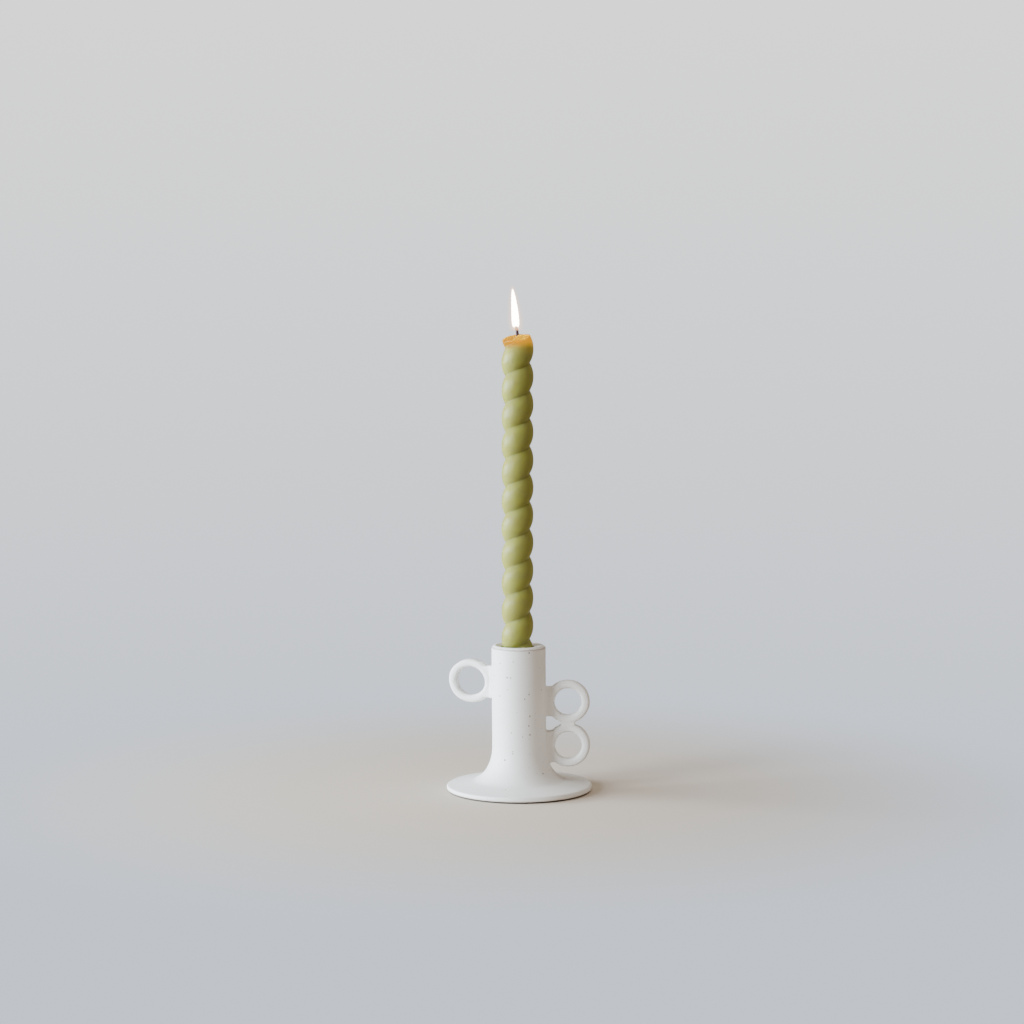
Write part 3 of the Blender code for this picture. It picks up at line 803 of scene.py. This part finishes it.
def taper_mesh():
    column_turn = 2 * math.pi * np.arange(AROUND) / AROUND + SEAM_START
    low_rows = np.linspace(0.0, TAPER_TOP - TAPER_BASE - LAST_TURN, 480)
    top_azimuth = column_turn + 2 * math.pi * low_rows[-1] / TWIST_PITCH
    ends = wall_level(top_azimuth) - TAPER_BASE
    rows = [(column_turn + 2 * math.pi * z / TWIST_PITCH, np.full(AROUND, z))
            for z in low_rows]
    for share in np.linspace(0.0, 1.0, 52)[1:]:
        rows.append((top_azimuth, low_rows[-1] + (ends - WALL_ROUND - low_rows[-1]) * share))
    skin = [np.stack([lobed(a, z) * np.cos(a), lobed(a, z) * np.sin(a), z], axis=1)
            for a, z in rows]
    edge = lobed(top_azimuth, rows[-1][1])
    for angle in np.linspace(0.0, math.pi / 2, 6)[1:]:
        inward = edge - WALL_ROUND * (1 - math.cos(angle))
        z = ends - WALL_ROUND * (1 - math.sin(angle))
        skin.append(np.stack([inward * np.cos(top_azimuth), inward * np.sin(top_azimuth), z],
                             axis=1))
    start = (edge - WALL_ROUND) / edge
    for step in np.linspace(0.0, 1.0, 24)[1:-1]:
        share = start * (1 - step)
        z = crater_height(share, ends + TAPER_BASE) - TAPER_BASE
        skin.append(np.stack([share * edge * np.cos(top_azimuth),
                              share * edge * np.sin(top_azimuth), z], axis=1))
    points = np.concatenate(skin)
    faces = tube_faces(len(skin), AROUND)
    bottom = len(points)
    points = np.concatenate([points, [(0.0, 0.0, 0.0), (0.0, 0.0, BED_LEVEL - TAPER_BASE)]])
    last = bottom - AROUND
    for j in range(AROUND):
        k = (j + 1) % AROUND
        faces.append((bottom, k, j))
        faces.append((bottom + 1, last + j, last + k))
    mesh = bpy.data.meshes.new("taper")
    mesh.from_pydata(points.tolist(), [], faces)
    return mesh


taper_skin = taper_mesh()
print("taper:", len(taper_skin.vertices), "points")

# %% [markdown]
# Poured and twisted wax is never even. Slow noise swells the lobes by a tenth of a
# millimetre, and a fainter, finer noise gives the soft dents that catch the light.

# %% Give the wax its unevenness
SLOW_SWELL = 0.11 * MM
FINE_SWELL = 0.035 * MM
CRUST_SWELL = 0.10 * MM
CRUST_SPAN = (225 * MM, 240 * MM)


def uneven_wax(mesh):
    points = get_points(mesh)
    radius = np.maximum(np.hypot(points[:, 0], points[:, 1]), 0.1 * MM)
    slow = soft_noise(points, 9 * MM, 6.0)
    fine = soft_noise(points, 2.4 * MM, 7.0)
    outside = smoothstep(4 * MM, 8 * MM, radius)
    swell = (SLOW_SWELL * slow + FINE_SWELL * fine) * outside
    points[:, :2] *= (1.0 + swell / radius)[:, None]
    points[:, 2] += CRUST_SWELL * fine * smoothstep(*CRUST_SPAN, points[:, 2])
    points += (TAPER_AXIS_X, 0.0, TAPER_BASE)
    set_points(mesh, points)


uneven_wax(taper_skin)
taper = show("twisted_taper_of_wax", taper_skin)

# %% [markdown]
# Molten wax lies in the crater, level like any liquid, with a thin edge that climbs the
# wall and a small collar that climbs the wick.

# %% Fill the crater with molten wax
POOL_RADIUS = 7.2 * MM
WICK_RADIUS = 1.0 * MM


def pool_outline():
    points = [(0.0, POOL_LEVEL + 0.5 * MM)]
    points += arc((WICK_RADIUS + 0.9 * MM, POOL_LEVEL + 0.7 * MM), 0.8 * MM, 0.7 * MM,
                  math.pi, math.pi * 1.5, 5)
    points += arc((POOL_RADIUS - 0.6 * MM, POOL_LEVEL + 0.25 * MM), 0.6 * MM, 0.25 * MM,
                  math.pi * 1.5, math.pi * 2, 5)
    points += [(POOL_RADIUS - 0.2 * MM, POOL_LEVEL - 0.3 * MM), (0.0, POOL_LEVEL - 0.8 * MM)]
    return points


pool_mesh = turned_mesh(pool_outline(), 72, 0.6 * MM)
pool_points = get_points(pool_mesh)
pool_points[:, 2] += 0.05 * MM * soft_noise(pool_points, 3 * MM, 8.0)
pool_points[:, 0] += TAPER_AXIS_X
set_points(pool_mesh, pool_points)
pool = show("pool_of_molten_wax", pool_mesh)
print("pool level:", round(POOL_LEVEL / MM, 1), "mm")

# %% [markdown]
# The wick is braided cotton. Its burnt end curls over to the front, out of the hottest part
# of the flame, as a good wick does, and thins to a glowing tip. A tube is swept along its
# line, and two crossing spirals raised on its surface make the braid.

# %% Braid the wick
WICK_FOOT = TAPER_TOP - 8 * MM
WICK_SHOWING = 7.8 * MM
WICK_BEND = -1.1 * MM
WICK_CURL = -3.6 * MM
WICK_TIP_ROUND = 0.8 * MM
BRAID_PITCH = 2.4 * MM


def wick_line(z):
    """Where the wick's middle is, at a height."""
    climb = max(0.0, (z - TAPER_TOP) / WICK_SHOWING)
    return TAPER_AXIS_X + WICK_BEND * climb ** 2, WICK_CURL * climb ** 3


def wick_mesh():
    sides, rows = 24, 74
    tip = TAPER_TOP + WICK_SHOWING
    points = []
    for i in range(rows):
        z = WICK_FOOT + (tip - WICK_FOOT) * i / (rows - 1)
        end = max(0.0, (z - (tip - WICK_TIP_ROUND)) / WICK_TIP_ROUND)
        thin = math.sqrt(max(0.02, 1.0 - end * end))
        middle_x, middle_y = wick_line(z)
        for j in range(sides):
            turn = 2 * math.pi * j / sides
            climb = 2 * math.pi * z / BRAID_PITCH
            strand = abs(math.sin(2 * turn + climb)) + abs(math.sin(2 * turn - climb))
            radius = WICK_RADIUS * thin * (0.92 + 0.09 * strand)
            points.append((middle_x + radius * math.cos(turn),
                           middle_y + radius * math.sin(turn), z))
    faces = tube_faces(rows, sides)
    faces.append(tuple(reversed(range(sides))))
    faces.append(tuple(range((rows - 1) * sides, rows * sides)))
    mesh = bpy.data.meshes.new("wick")
    mesh.from_pydata(points, [], faces)
    return mesh


wick = show("braided_wick", wick_mesh())
print("wick:", len(wick.data.vertices), "points")

# %% [markdown]
# ## The flame
# A candle flame has a dim foot round the wick, a white-hot heart, and a thin warm edge. It
# could be a volume, but nested skins of light are simpler, and they travel to any program
# that reads meshes: a solid bright heart, two veils that let most light through, and two
# faint skins round them for the glow in the air.

# %% Draw the flame's skins
FLAME_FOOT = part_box("flame")[0][2]
FLAME_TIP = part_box("flame")[1][2]
FLAME_RADIUS = 2.8 * MM
FLAME_BELLY = 0.43
FLAME_LEAN = -3.6 * MM
FLAME_REACH_FORWARD = 0.4 * WICK_CURL


def flame_skin(name, wide, low, high, steps=40):
    """A turned drop of light, whose foot and tip can be drawn in, leant over like the fire."""
    outline = []
    for i in range(steps + 1):
        rise = 1.0 - i / steps
        z = low + (high - low) * rise
        belly = max(0.0, math.sin(math.pi * rise ** FLAME_BELLY))
        radius = wide * math.sqrt(belly) if 0 < i < steps else 0.0
        outline.append((radius, z))
    mesh = turned_mesh(outline, 40, 1.2 * MM)
    points = get_points(mesh)
    rise = np.clip((points[:, 2] - FLAME_FOOT) / (FLAME_TIP - FLAME_FOOT), 0.0, 1.1)
    lean = (FLAME_LEAN - WICK_BEND) * rise * (0.6 + 0.4 * rise)
    points[:, 0] += TAPER_AXIS_X + WICK_BEND + lean
    points[:, 1] += FLAME_REACH_FORWARD * (1.0 - rise) ** 2
    set_points(mesh, points)
    return show(name, mesh)


heart = flame_skin("flame_heart", FLAME_RADIUS * 0.88, FLAME_FOOT + 1.9 * MM,
                   FLAME_TIP - 1.0 * MM)
inner_veil = flame_skin("flame_inner_veil", FLAME_RADIUS * 0.95, FLAME_FOOT + 0.9 * MM,
                        FLAME_TIP - 0.4 * MM)
outer_veil = flame_skin("flame_outer_veil", FLAME_RADIUS * 1.04, FLAME_FOOT, FLAME_TIP)
near_glow = flame_skin("glow_near_flame", FLAME_RADIUS * 1.5, FLAME_FOOT - 0.4 * MM,
                       FLAME_TIP + 1.0 * MM)
far_glow = flame_skin("glow_round_flame", FLAME_RADIUS * 2.1, FLAME_FOOT - 0.8 * MM,
                      FLAME_TIP + 2.2 * MM)
print("flame:", round((FLAME_TIP - FLAME_FOOT) / MM, 1), "mm tall")

# %% [markdown]
# A small lamp inside the flame lights the crater and the wick. It hangs from the flame's
# heart, so it goes wherever the candle goes.

# %% Hang a lamp in the flame
LAMP_POWER = 0.02
LAMP_HEIGHT = 9 * MM

lamp_data = bpy.data.lights.new("fire", "POINT")
lamp_data.energy = LAMP_POWER
lamp_data.color = (1.0, 0.55, 0.12)
lamp_data.shadow_soft_size = 2.0 * MM
lamp = bpy.data.objects.new("fire", lamp_data)
lamp.location = (TAPER_AXIS_X + WICK_BEND, 0.0, TAPER_TOP + LAMP_HEIGHT)
lamp.parent = heart
bpy.context.scene.collection.objects.link(lamp)

# %% [markdown]
# ## Crumbs of wax on the lip
# Pushing the taper into its socket shaves off crumbs of wax. They lie along the front of
# the taper, in the gap and on the lip. Each is a small lump: a ball of triangles pulled
# about by noise and flattened, set down where a random draw puts it.

# %% Scatter the crumbs
CRUMB_COUNT = 44
CRUMB_BED = TAPER_RADIUS + 0.9 * MM
CRUMB_MIDDLE = -100.0
CRUMB_SPREAD = 26.0


def crumb(pile, centre, size, seed):
    made = bmesh.ops.create_icosphere(pile, subdivisions=2, radius=size)
    for vert in made["verts"]:
        lump = noise.noise(vert.co / (size * 1.1) + Vector((seed, 0.0, 0.0)))
        vert.co *= 1.0 + 0.55 * lump
        vert.co.z *= 0.62
        vert.co += Vector(centre)


def crumbs_mesh():
    draw = np.random.default_rng(11)
    pile = bmesh.new()
    for i in range(CRUMB_COUNT):
        azimuth = math.radians(np.clip(draw.normal(CRUMB_MIDDLE, CRUMB_SPREAD), -165.0, -35.0))
        reach = CRUMB_BED + abs(draw.normal(0.0, 0.8)) * MM
        size = draw.uniform(0.28, 0.70) * MM
        on_lip = smoothstep(SOCKET_RADIUS, SOCKET_RADIUS + 1.2 * MM, reach)
        z = RIM_HEIGHT - 1.6 * MM + 1.0 * MM * on_lip + size * 0.4
        crumb(pile, (TAPER_AXIS_X + reach * math.cos(azimuth), reach * math.sin(azimuth), z),
              size, 3.7 * i)
    return mesh_from("crumbs", pile)


crumbs = show("crumbs_of_wax", crumbs_mesh())
print("crumbs:", CRUMB_COUNT)

# %% [markdown]
# ## The finishes
# Each finish is built from shader nodes. A short helper places a node, sets its values and
# joins its inputs in one line, so that a recipe reads from top to bottom. Positions inside
# the recipes are in millimetres, which makes every scale easy to picture.

# %% Helpers for the finishes
def new_finish(name):
    finish = bpy.data.materials.new(name)
    finish.use_nodes = True
    tree = finish.node_tree
    return finish, tree, tree.nodes["Principled BSDF"]


def put(tree, kind, inputs=None, **settings):
    """Add a shader node. An input's value may be another node's output."""
    made = tree.nodes.new("ShaderNode" + kind)
    for key, value in settings.items():
        setattr(made, key, value)
    for key, value in (inputs or {}).items():
        if isinstance(value, bpy.types.NodeSocket):
            tree.links.new(value, made.inputs[key])
        else:
            made.inputs[key].default_value = value
    return made


def maths(tree, operation, a, b=0.0):
    return put(tree, "Math", {0: a, 1: b}, operation=operation).outputs[0]


def blend(tree, share, a, b):
    """Mix two colours; each is an output or three numbers."""
    a = a if isinstance(a, bpy.types.NodeSocket) else (*a, 1.0)
    b = b if isinstance(b, bpy.types.NodeSocket) else (*b, 1.0)
    return put(tree, "Mix", {"Factor": share, "A": a, "B": b}, data_type="RGBA").outputs["Result"]


def step(tree, value, low, high):
    """A smooth step from 0 at low to 1 at high."""
    made = put(tree, "MapRange", {"Value": value, "From Min": low, "From Max": high},
               interpolation_type="SMOOTHSTEP")
    return made.outputs["Result"]


def position(tree, shift=(0.0, 0.0, 0.0)):
    """The surface point in millimetres, from a chosen centre."""
    spot = put(tree, "TexCoord").outputs["Object"]
    moved = put(tree, "VectorMath", {0: spot, 1: shift}, operation="SUBTRACT").outputs[0]
    return put(tree, "VectorMath", {0: moved, "Scale": 1000.0}, operation="SCALE").outputs[0]


def cloud(tree, spot, size, detail=3.0, roughness=0.5):
    """Noise from 0 to 1 with lumps of a size in millimetres."""
    made = put(tree, "TexNoise", {"Vector": spot, "Scale": 1.0 / size, "Detail": detail,
                                  "Roughness": roughness})
    return made.outputs["Fac"]


def relief(tree, height, depth, normal=None):
    """Bump whose depth is in millimetres."""
    inputs = {"Height": height, "Distance": depth * MM, "Strength": 1.0}
    if normal is not None:
        inputs["Normal"] = normal
    return put(tree, "Bump", inputs).outputs["Normal"]


def inverse(tree, share):
    return maths(tree, "SUBTRACT", 1.0, share)


def wear(tree, finish, shader):
    tree.links.new(shader, tree.nodes["Material Output"].inputs["Surface"])
    return finish

# %% [markdown]
# ### Matte white glaze
# The glaze is a soft white with an eggshell surface. Under it the clay holds iron, which
# bleeds through as sparse brown specks, the largest about a millimetre across, and burst
# bubbles leave pinholes. Where the glaze runs thin, over the lip's outer corner and along
# the foot's edge, the warm clay shows. Voronoi cells place the specks: many cells stay
# empty, chosen by the random colour of each cell.

# %% Mix the glaze
GLAZE = (0.80, 0.80, 0.785)
GLAZE_THICK = (0.84, 0.845, 0.84)
THIN_GLAZE = (0.60, 0.52, 0.44)
GLAZE_CLOUD = (0.66, 0.63, 0.58)
LIP_LINE = (0.36, 0.29, 0.25)
IRON = (0.17, 0.115, 0.07)
DUST = (0.34, 0.26, 0.19)
LIP_CORNER = RIM_HEIGHT / MM - 1.45


def specks(tree, spot, spacing, radius, kept):
    """1 inside sparse dots: spacing and radius in millimetres, kept is a share of cells."""
    cells = put(tree, "TexVoronoi", {"Vector": spot, "Scale": 1.0 / spacing})
    lucky = put(tree, "SeparateColor", {"Color": cells.outputs["Color"]})
    chosen = step(tree, lucky.outputs[0], 1.0 - kept, 1.0 - kept + 0.02)
    own_size = maths(tree, "MULTIPLY_ADD", lucky.outputs[1], radius / spacing)
    own_size.node.inputs[2].default_value = 0.45 * radius / spacing
    inside = maths(tree, "SUBTRACT", own_size, cells.outputs["Distance"])
    dot = step(tree, inside, 0.0, 0.35 * radius / spacing)
    return maths(tree, "MULTIPLY", dot, chosen)


def lip_line(tree, spot, height):
    """1 in a thin band where the glaze breaks over the lip's outer corner."""
    above = step(tree, height, LIP_CORNER - 0.9, LIP_CORNER - 0.2)
    below = inverse(tree, step(tree, height, LIP_CORNER + 0.05, LIP_CORNER + 0.55))
    flat = put(tree, "VectorMath", {0: spot, 1: (1.0, 1.0, 0.0)}, operation="MULTIPLY")
    reach = put(tree, "VectorMath", {0: flat.outputs[0]}, operation="LENGTH").outputs["Value"]
    outside = step(tree, reach, 16.6, 17.6)
    return maths(tree, "MULTIPLY", maths(tree, "MULTIPLY", above, below), outside)


def glaze_finish():
    finish, tree, shader = new_finish("matte_white_glaze")
    spot = position(tree)
    away = put(tree, "SeparateXYZ", {"Vector": spot}).outputs
    slow = cloud(tree, spot, 14.0)
    fine = cloud(tree, spot, 1.6, detail=4.0, roughness=0.6)
    colour = blend(tree, slow, GLAZE_THICK, GLAZE)
    colour = blend(tree, maths(tree, "MULTIPLY", fine, 0.10), colour, GLAZE_CLOUD)

    edge = put(tree, "NewGeometry").outputs["Pointiness"]
    worn = step(tree, edge, 0.53, 0.60)
    worn = maths(tree, "MULTIPLY", worn, step(tree, fine, 0.25, 0.65))
    colour = blend(tree, maths(tree, "MULTIPLY", worn, 0.45), colour, THIN_GLAZE)

    ragged = maths(tree, "MULTIPLY_ADD", cloud(tree, spot, 3.0), 0.9)
    ragged.node.inputs[2].default_value = -0.45
    height = maths(tree, "ADD", away["Z"], ragged)
    band = lip_line(tree, spot, height)
    colour = blend(tree, maths(tree, "MULTIPLY", band, 0.74), colour, LIP_LINE)
    low = inverse(tree, step(tree, height, 1.5, 2.3))
    colour = blend(tree, maths(tree, "MULTIPLY", low, 0.6), colour, THIN_GLAZE)

    iron = specks(tree, spot, 4.2, 0.52, 0.50)
    dust = specks(tree, spot, 2.4, 0.30, 0.30)
    colour = blend(tree, maths(tree, "MULTIPLY", iron, 0.85), colour, IRON)
    colour = blend(tree, maths(tree, "MULTIPLY", dust, 0.55), colour, DUST)

    peel = cloud(tree, spot, 0.9, detail=2.0)
    normal = relief(tree, peel, 0.035)
    normal = relief(tree, inverse(tree, maths(tree, "MAXIMUM", iron, dust)), 0.06, normal)
    tree.links.new(colour, shader.inputs["Base Color"])
    tree.links.new(normal, shader.inputs["Normal"])
    dull = put(tree, "MapRange", {"Value": fine, "To Min": 0.46, "To Max": 0.62})
    tree.links.new(dull.outputs["Result"], shader.inputs["Roughness"])
    shader.inputs["IOR"].default_value = 1.48
    return finish


glaze = glaze_finish()
for piece in (column, left_ring, upper_ring, lower_ring, bridge):
    piece.data.materials.append(glaze)
print("glaze nodes:", len(glaze.node_tree.nodes))

# %% [markdown]
# ### Felt
# Felt is a mat of short fibres. Noise stretched thin makes the fibres, and a little sheen
# gives the pale bloom of their ends.

# %% Press the felt
FELT_DEEP_AND_GAP_SHADE = (0.020, 0.017, 0.014)
FELT_PALE = (0.075, 0.062, 0.050)
FELT_TUFT = (0.05, 0.045, 0.04)


def felt_finish():
    finish, tree, shader = new_finish("dark_felt")
    spot = position(tree)
    stretched = put(tree, "Mapping", {"Vector": spot, "Scale": (1.0, 1.0, 4.0)})
    fibres = cloud(tree, stretched.outputs["Vector"], 0.35, detail=5.0, roughness=0.7)
    tufts = cloud(tree, spot, 2.2)
    # Painted shade in part: the near-black is the felt's colour and also stands in for the shade in
    # the gap under the foot.
    colour = blend(tree, step(tree, fibres, 0.3, 0.7), FELT_DEEP_AND_GAP_SHADE, FELT_PALE)
    colour = blend(tree, maths(tree, "MULTIPLY", tufts, 0.3), colour, FELT_TUFT)
    tree.links.new(colour, shader.inputs["Base Color"])
    tree.links.new(relief(tree, fibres, 0.15), shader.inputs["Normal"])
    shader.inputs["Roughness"].default_value = 0.95
    shader.inputs["Sheen Weight"].default_value = 0.25
    return finish


felt.data.materials.append(felt_finish())

# %% [markdown]
# ### Olive wax
# Wax lets light in, and lets it out again up to a centimetre or so away, so it takes
# subsurface scattering. Noise clouds it with the paler bloom of handled wax. Near the flame
# the wax glows from inside: that light is added as emission, which is strongest along the
# crater's wall and dies away over about a centimetre below it.

# %% Mix the wax
WAX = (0.258, 0.268, 0.062)
WAX_DEEP_AND_SEAM_SHADE = (0.242, 0.240, 0.070)
WAX_BLOOM = (0.28, 0.31, 0.09)
WAX_UNDER_GLOW = (0.10, 0.042, 0.0)
GLOW = (1.0, 0.44, 0.0)
GLOW_LINE = TAPER_TOP / MM - 4.4
GLOW_TILT = -0.11
GLOW_WAVE = 1.6
SCATTER = (1.0, 0.85, 0.35)
SCATTER_REACH = 14.0 * MM


def painted_wax_glow(tree, spot, away):
    """Where the flame's light is painted in: 1 in the glowing wall, and the faint glow lower down.
    """
    lean = maths(tree, "MULTIPLY_ADD", away["X"], GLOW_TILT)
    tree.links.new(away["Z"], lean.node.inputs[2])
    wavy = maths(tree, "MULTIPLY_ADD", cloud(tree, spot, 5.0), GLOW_WAVE)
    tree.links.new(lean, wavy.node.inputs[2])
    hot = step(tree, wavy, GLOW_LINE - 3.2, GLOW_LINE + 2.2)
    warm = step(tree, wavy, GLOW_LINE - 10.0, GLOW_LINE + 1.0)
    return hot, warm


def wax_finish():
    finish, tree, shader = new_finish("olive_wax")
    spot = position(tree, (TAPER_AXIS_X, 0.0, 0.0))
    away = put(tree, "SeparateXYZ", {"Vector": spot}).outputs
    slow = cloud(tree, spot, 7.0)
    fine = cloud(tree, spot, 1.3, detail=5.0, roughness=0.62)
    colour = blend(tree, step(tree, slow, 0.3, 0.7), WAX, WAX_DEEP_AND_SEAM_SHADE)
    bloom = maths(tree, "MULTIPLY", step(tree, fine, 0.42, 0.75), step(tree, slow, 0.35, 0.65))
    colour = blend(tree, maths(tree, "MULTIPLY", bloom, 0.35), colour, WAX_BLOOM)
    # Painted shade: the concave seam is blended towards the deep wax colour, standing in for the
    # shade under the lobe above it.
    ridge = step(tree, put(tree, "NewGeometry").outputs["Pointiness"], 0.42, 0.52)
    painted_seam_shade = maths(tree, "MULTIPLY", inverse(tree, ridge), 0.8)
    colour = blend(tree, painted_seam_shade, colour, WAX_DEEP_AND_SEAM_SHADE)

    hot, warm = painted_wax_glow(tree, spot, away)
    # Painted glow: near the flame the wax is tinted dark orange and given emission, standing in for
    # the flame's light shining through it.
    colour = blend(tree, hot, colour, WAX_UNDER_GLOW)
    strength = maths(tree, "MULTIPLY_ADD", warm, 0.10)
    tree.links.new(maths(tree, "MULTIPLY", hot, 0.68), strength.node.inputs[2])

    tree.links.new(colour, shader.inputs["Base Color"])
    tree.links.new(strength, shader.inputs["Emission Strength"])
    shader.inputs["Emission Color"].default_value = (*GLOW, 1.0)
    shader.inputs["Subsurface Weight"].default_value = 0.9
    shader.inputs["Subsurface Radius"].default_value = SCATTER
    shader.inputs["Subsurface Scale"].default_value = SCATTER_REACH
    shader.inputs["Specular IOR Level"].default_value = 0.16
    shader.inputs["IOR"].default_value = 1.44
    dull = put(tree, "MapRange", {"Value": fine, "To Min": 0.27, "To Max": 0.38})
    tree.links.new(dull.outputs["Result"], shader.inputs["Roughness"])
    normal = relief(tree, fine, 0.10)
    tree.links.new(relief(tree, slow, 0.35, normal), shader.inputs["Normal"])
    return finish


wax = wax_finish()
taper.data.materials.append(wax)
crumbs.data.materials.append(wax)

# %% [markdown]
# ### Molten wax, wick and fire
# Molten wax is clear and wet, with the flame's light in it. The wick is charred to a
# violet black, and its tip still glows. The fire's skins give light and nothing else.

# %% Mix the molten wax and char the wick
MOLTEN_DEEP = (0.40, 0.20, 0.01)
MOLTEN_PALE = (0.50, 0.28, 0.03)
MOLTEN_GLOW = ((1.0, 0.48, 0.0), (1.0, 0.56, 0.02))
CHAR = (0.010, 0.004, 0.012)
ASH = (0.050, 0.022, 0.048)
EMBER = (1.0, 0.36, 0.0)


def molten_finish():
    finish, tree, shader = new_finish("molten_wax")
    spot = position(tree, (TAPER_AXIS_X, 0.0, 0.0))
    depth = cloud(tree, spot, 2.5)
    tree.links.new(blend(tree, depth, MOLTEN_DEEP, MOLTEN_PALE), shader.inputs["Base Color"])
    tree.links.new(blend(tree, depth, *MOLTEN_GLOW), shader.inputs["Emission Color"])
    shader.inputs["Emission Strength"].default_value = 2.8
    shader.inputs["Roughness"].default_value = 0.08
    shader.inputs["IOR"].default_value = 1.43
    return finish


def wick_finish():
    finish, tree, shader = new_finish("charred_wick")
    spot = position(tree)
    up = put(tree, "SeparateXYZ", {"Vector": spot}).outputs["Z"]
    ash = cloud(tree, spot, 0.35, detail=4.0)
    tree.links.new(blend(tree, ash, CHAR, ASH), shader.inputs["Base Color"])
    tip = (TAPER_TOP + WICK_SHOWING) / MM
    ember = step(tree, maths(tree, "ADD", up, ash), tip - 2.4, tip - 1.2)
    tree.links.new(maths(tree, "MULTIPLY", ember, 0.9), shader.inputs["Emission Strength"])
    shader.inputs["Emission Color"].default_value = (*EMBER, 1.0)
    shader.inputs["Roughness"].default_value = 0.9
    tree.links.new(relief(tree, ash, 0.08), shader.inputs["Normal"])
    return finish


pool.data.materials.append(molten_finish())
wick.data.materials.append(wick_finish())

# %% [markdown]
# A skin of fire is an Emission shader mixed with a Transparent one. The share between them
# is the skin's density, and the colour warms towards the edge of the flame.

# %% Light the fire
def fire_finish(name, colour, strength, density):
    finish, tree, shader = new_finish(name)
    tree.nodes.remove(shader)
    spot = position(tree)
    flicker = cloud(tree, spot, 6.0)
    tint = blend(tree, maths(tree, "MULTIPLY", flicker, 0.25), colour,
                 tuple(c * k for c, k in zip(colour, (1.0, 0.93, 0.85))))
    fire = put(tree, "Emission", {"Color": tint, "Strength": strength}).outputs[0]
    if density < 1.0:
        clear = put(tree, "BsdfTransparent").outputs[0]
        fire = put(tree, "MixShader", {"Fac": density, 1: clear, 2: fire}).outputs[0]
    return wear(tree, finish, fire)


heart.data.materials.append(fire_finish("white_heat", (1.0, 0.97, 0.92), 30.0, 1.0))
inner_veil.data.materials.append(fire_finish("inner_fire", (1.0, 0.72, 0.45), 5.0, 0.22))
outer_veil.data.materials.append(fire_finish("outer_fire", (1.0, 0.60, 0.36), 3.2, 0.20))
near_glow.data.materials.append(fire_finish("near_glow", (1.0, 0.60, 0.38), 3.2, 0.12))
far_glow.data.materials.append(fire_finish("far_glow", (1.0, 0.66, 0.46), 2.6, 0.06))

# %% [markdown]
# ## The floor
# The floor is a wide pale disc. It fades out far from the holder, so that no edge and no
# horizon cuts across the view, and the holder's soft shadow still falls on it.

# %% Lay the floor
FLOOR_RADIUS = 0.6
FLOOR_COLOUR = (0.62, 0.55, 0.47)
FLOOR_FADE = (90.0, 430.0)

floor_shape = bmesh.new()
bmesh.ops.create_circle(floor_shape, cap_ends=True, segments=96, radius=FLOOR_RADIUS)
floor = show("floor", mesh_from("floor", floor_shape))
floor_finish, floor_tree, floor_shader = new_finish("pale_floor")
floor_spot = position(floor_tree)
floor_grain = cloud(floor_tree, floor_spot, 40.0)
floor_tint = blend(floor_tree, floor_grain, FLOOR_COLOUR, tuple(c * 1.02 for c in FLOOR_COLOUR))
floor_tree.links.new(floor_tint, floor_shader.inputs["Base Color"])
floor_shader.inputs["Roughness"].default_value = 0.9
far = put(floor_tree, "VectorMath", {0: floor_spot}, operation="LENGTH").outputs["Value"]
fade = step(floor_tree, far, *FLOOR_FADE)
floor_clear = put(floor_tree, "BsdfTransparent").outputs[0]
floor_mix = put(floor_tree, "MixShader", {"Fac": fade, 1: floor_shader.outputs[0],
                                          2: floor_clear})
wear(floor_tree, floor_finish, floor_mix.outputs[0])
floor.data.materials.append(floor_finish)

# %% [markdown]
# ## Joining the pieces to the working model
# Last, each piece is hung on the body it moves with, and the working pieces it stands for
# are hidden. The candle lifts out of the holder, so the pieces fall in two groups. The
# crumbs stay on the lip when the candle is lifted.

# %% Say what each piece rides on and replaces
def belongs(piece, body, slot, *stands_for):
    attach(piece, body)
    if stands_for:
        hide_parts(*stands_for)


belongs(column, "holder", "stoneware", BODY)
belongs(left_ring, "holder", "stoneware", "left_ring", "left_ring_lug")
belongs(upper_ring, "holder", "stoneware", "upper_right_ring", "upper_right_ring_lug")
belongs(lower_ring, "holder", "stoneware", "lower_right_ring", "lower_right_ring_lug")
belongs(bridge, "holder", "stoneware", "right_ring_bridge")
belongs(felt, "holder", "felt", "felt_pad")
belongs(crumbs, "holder", "wax")
belongs(taper, "candle", "wax", "twisted_taper")
belongs(pool, "candle", "molten_wax", "melt_pool")
belongs(wick, "candle", "charred_wick", "wick")
belongs(heart, "candle", "flame", "flame")
for skin in (inner_veil, outer_veil, near_glow, far_glow):
    belongs(skin, "candle", "flame")
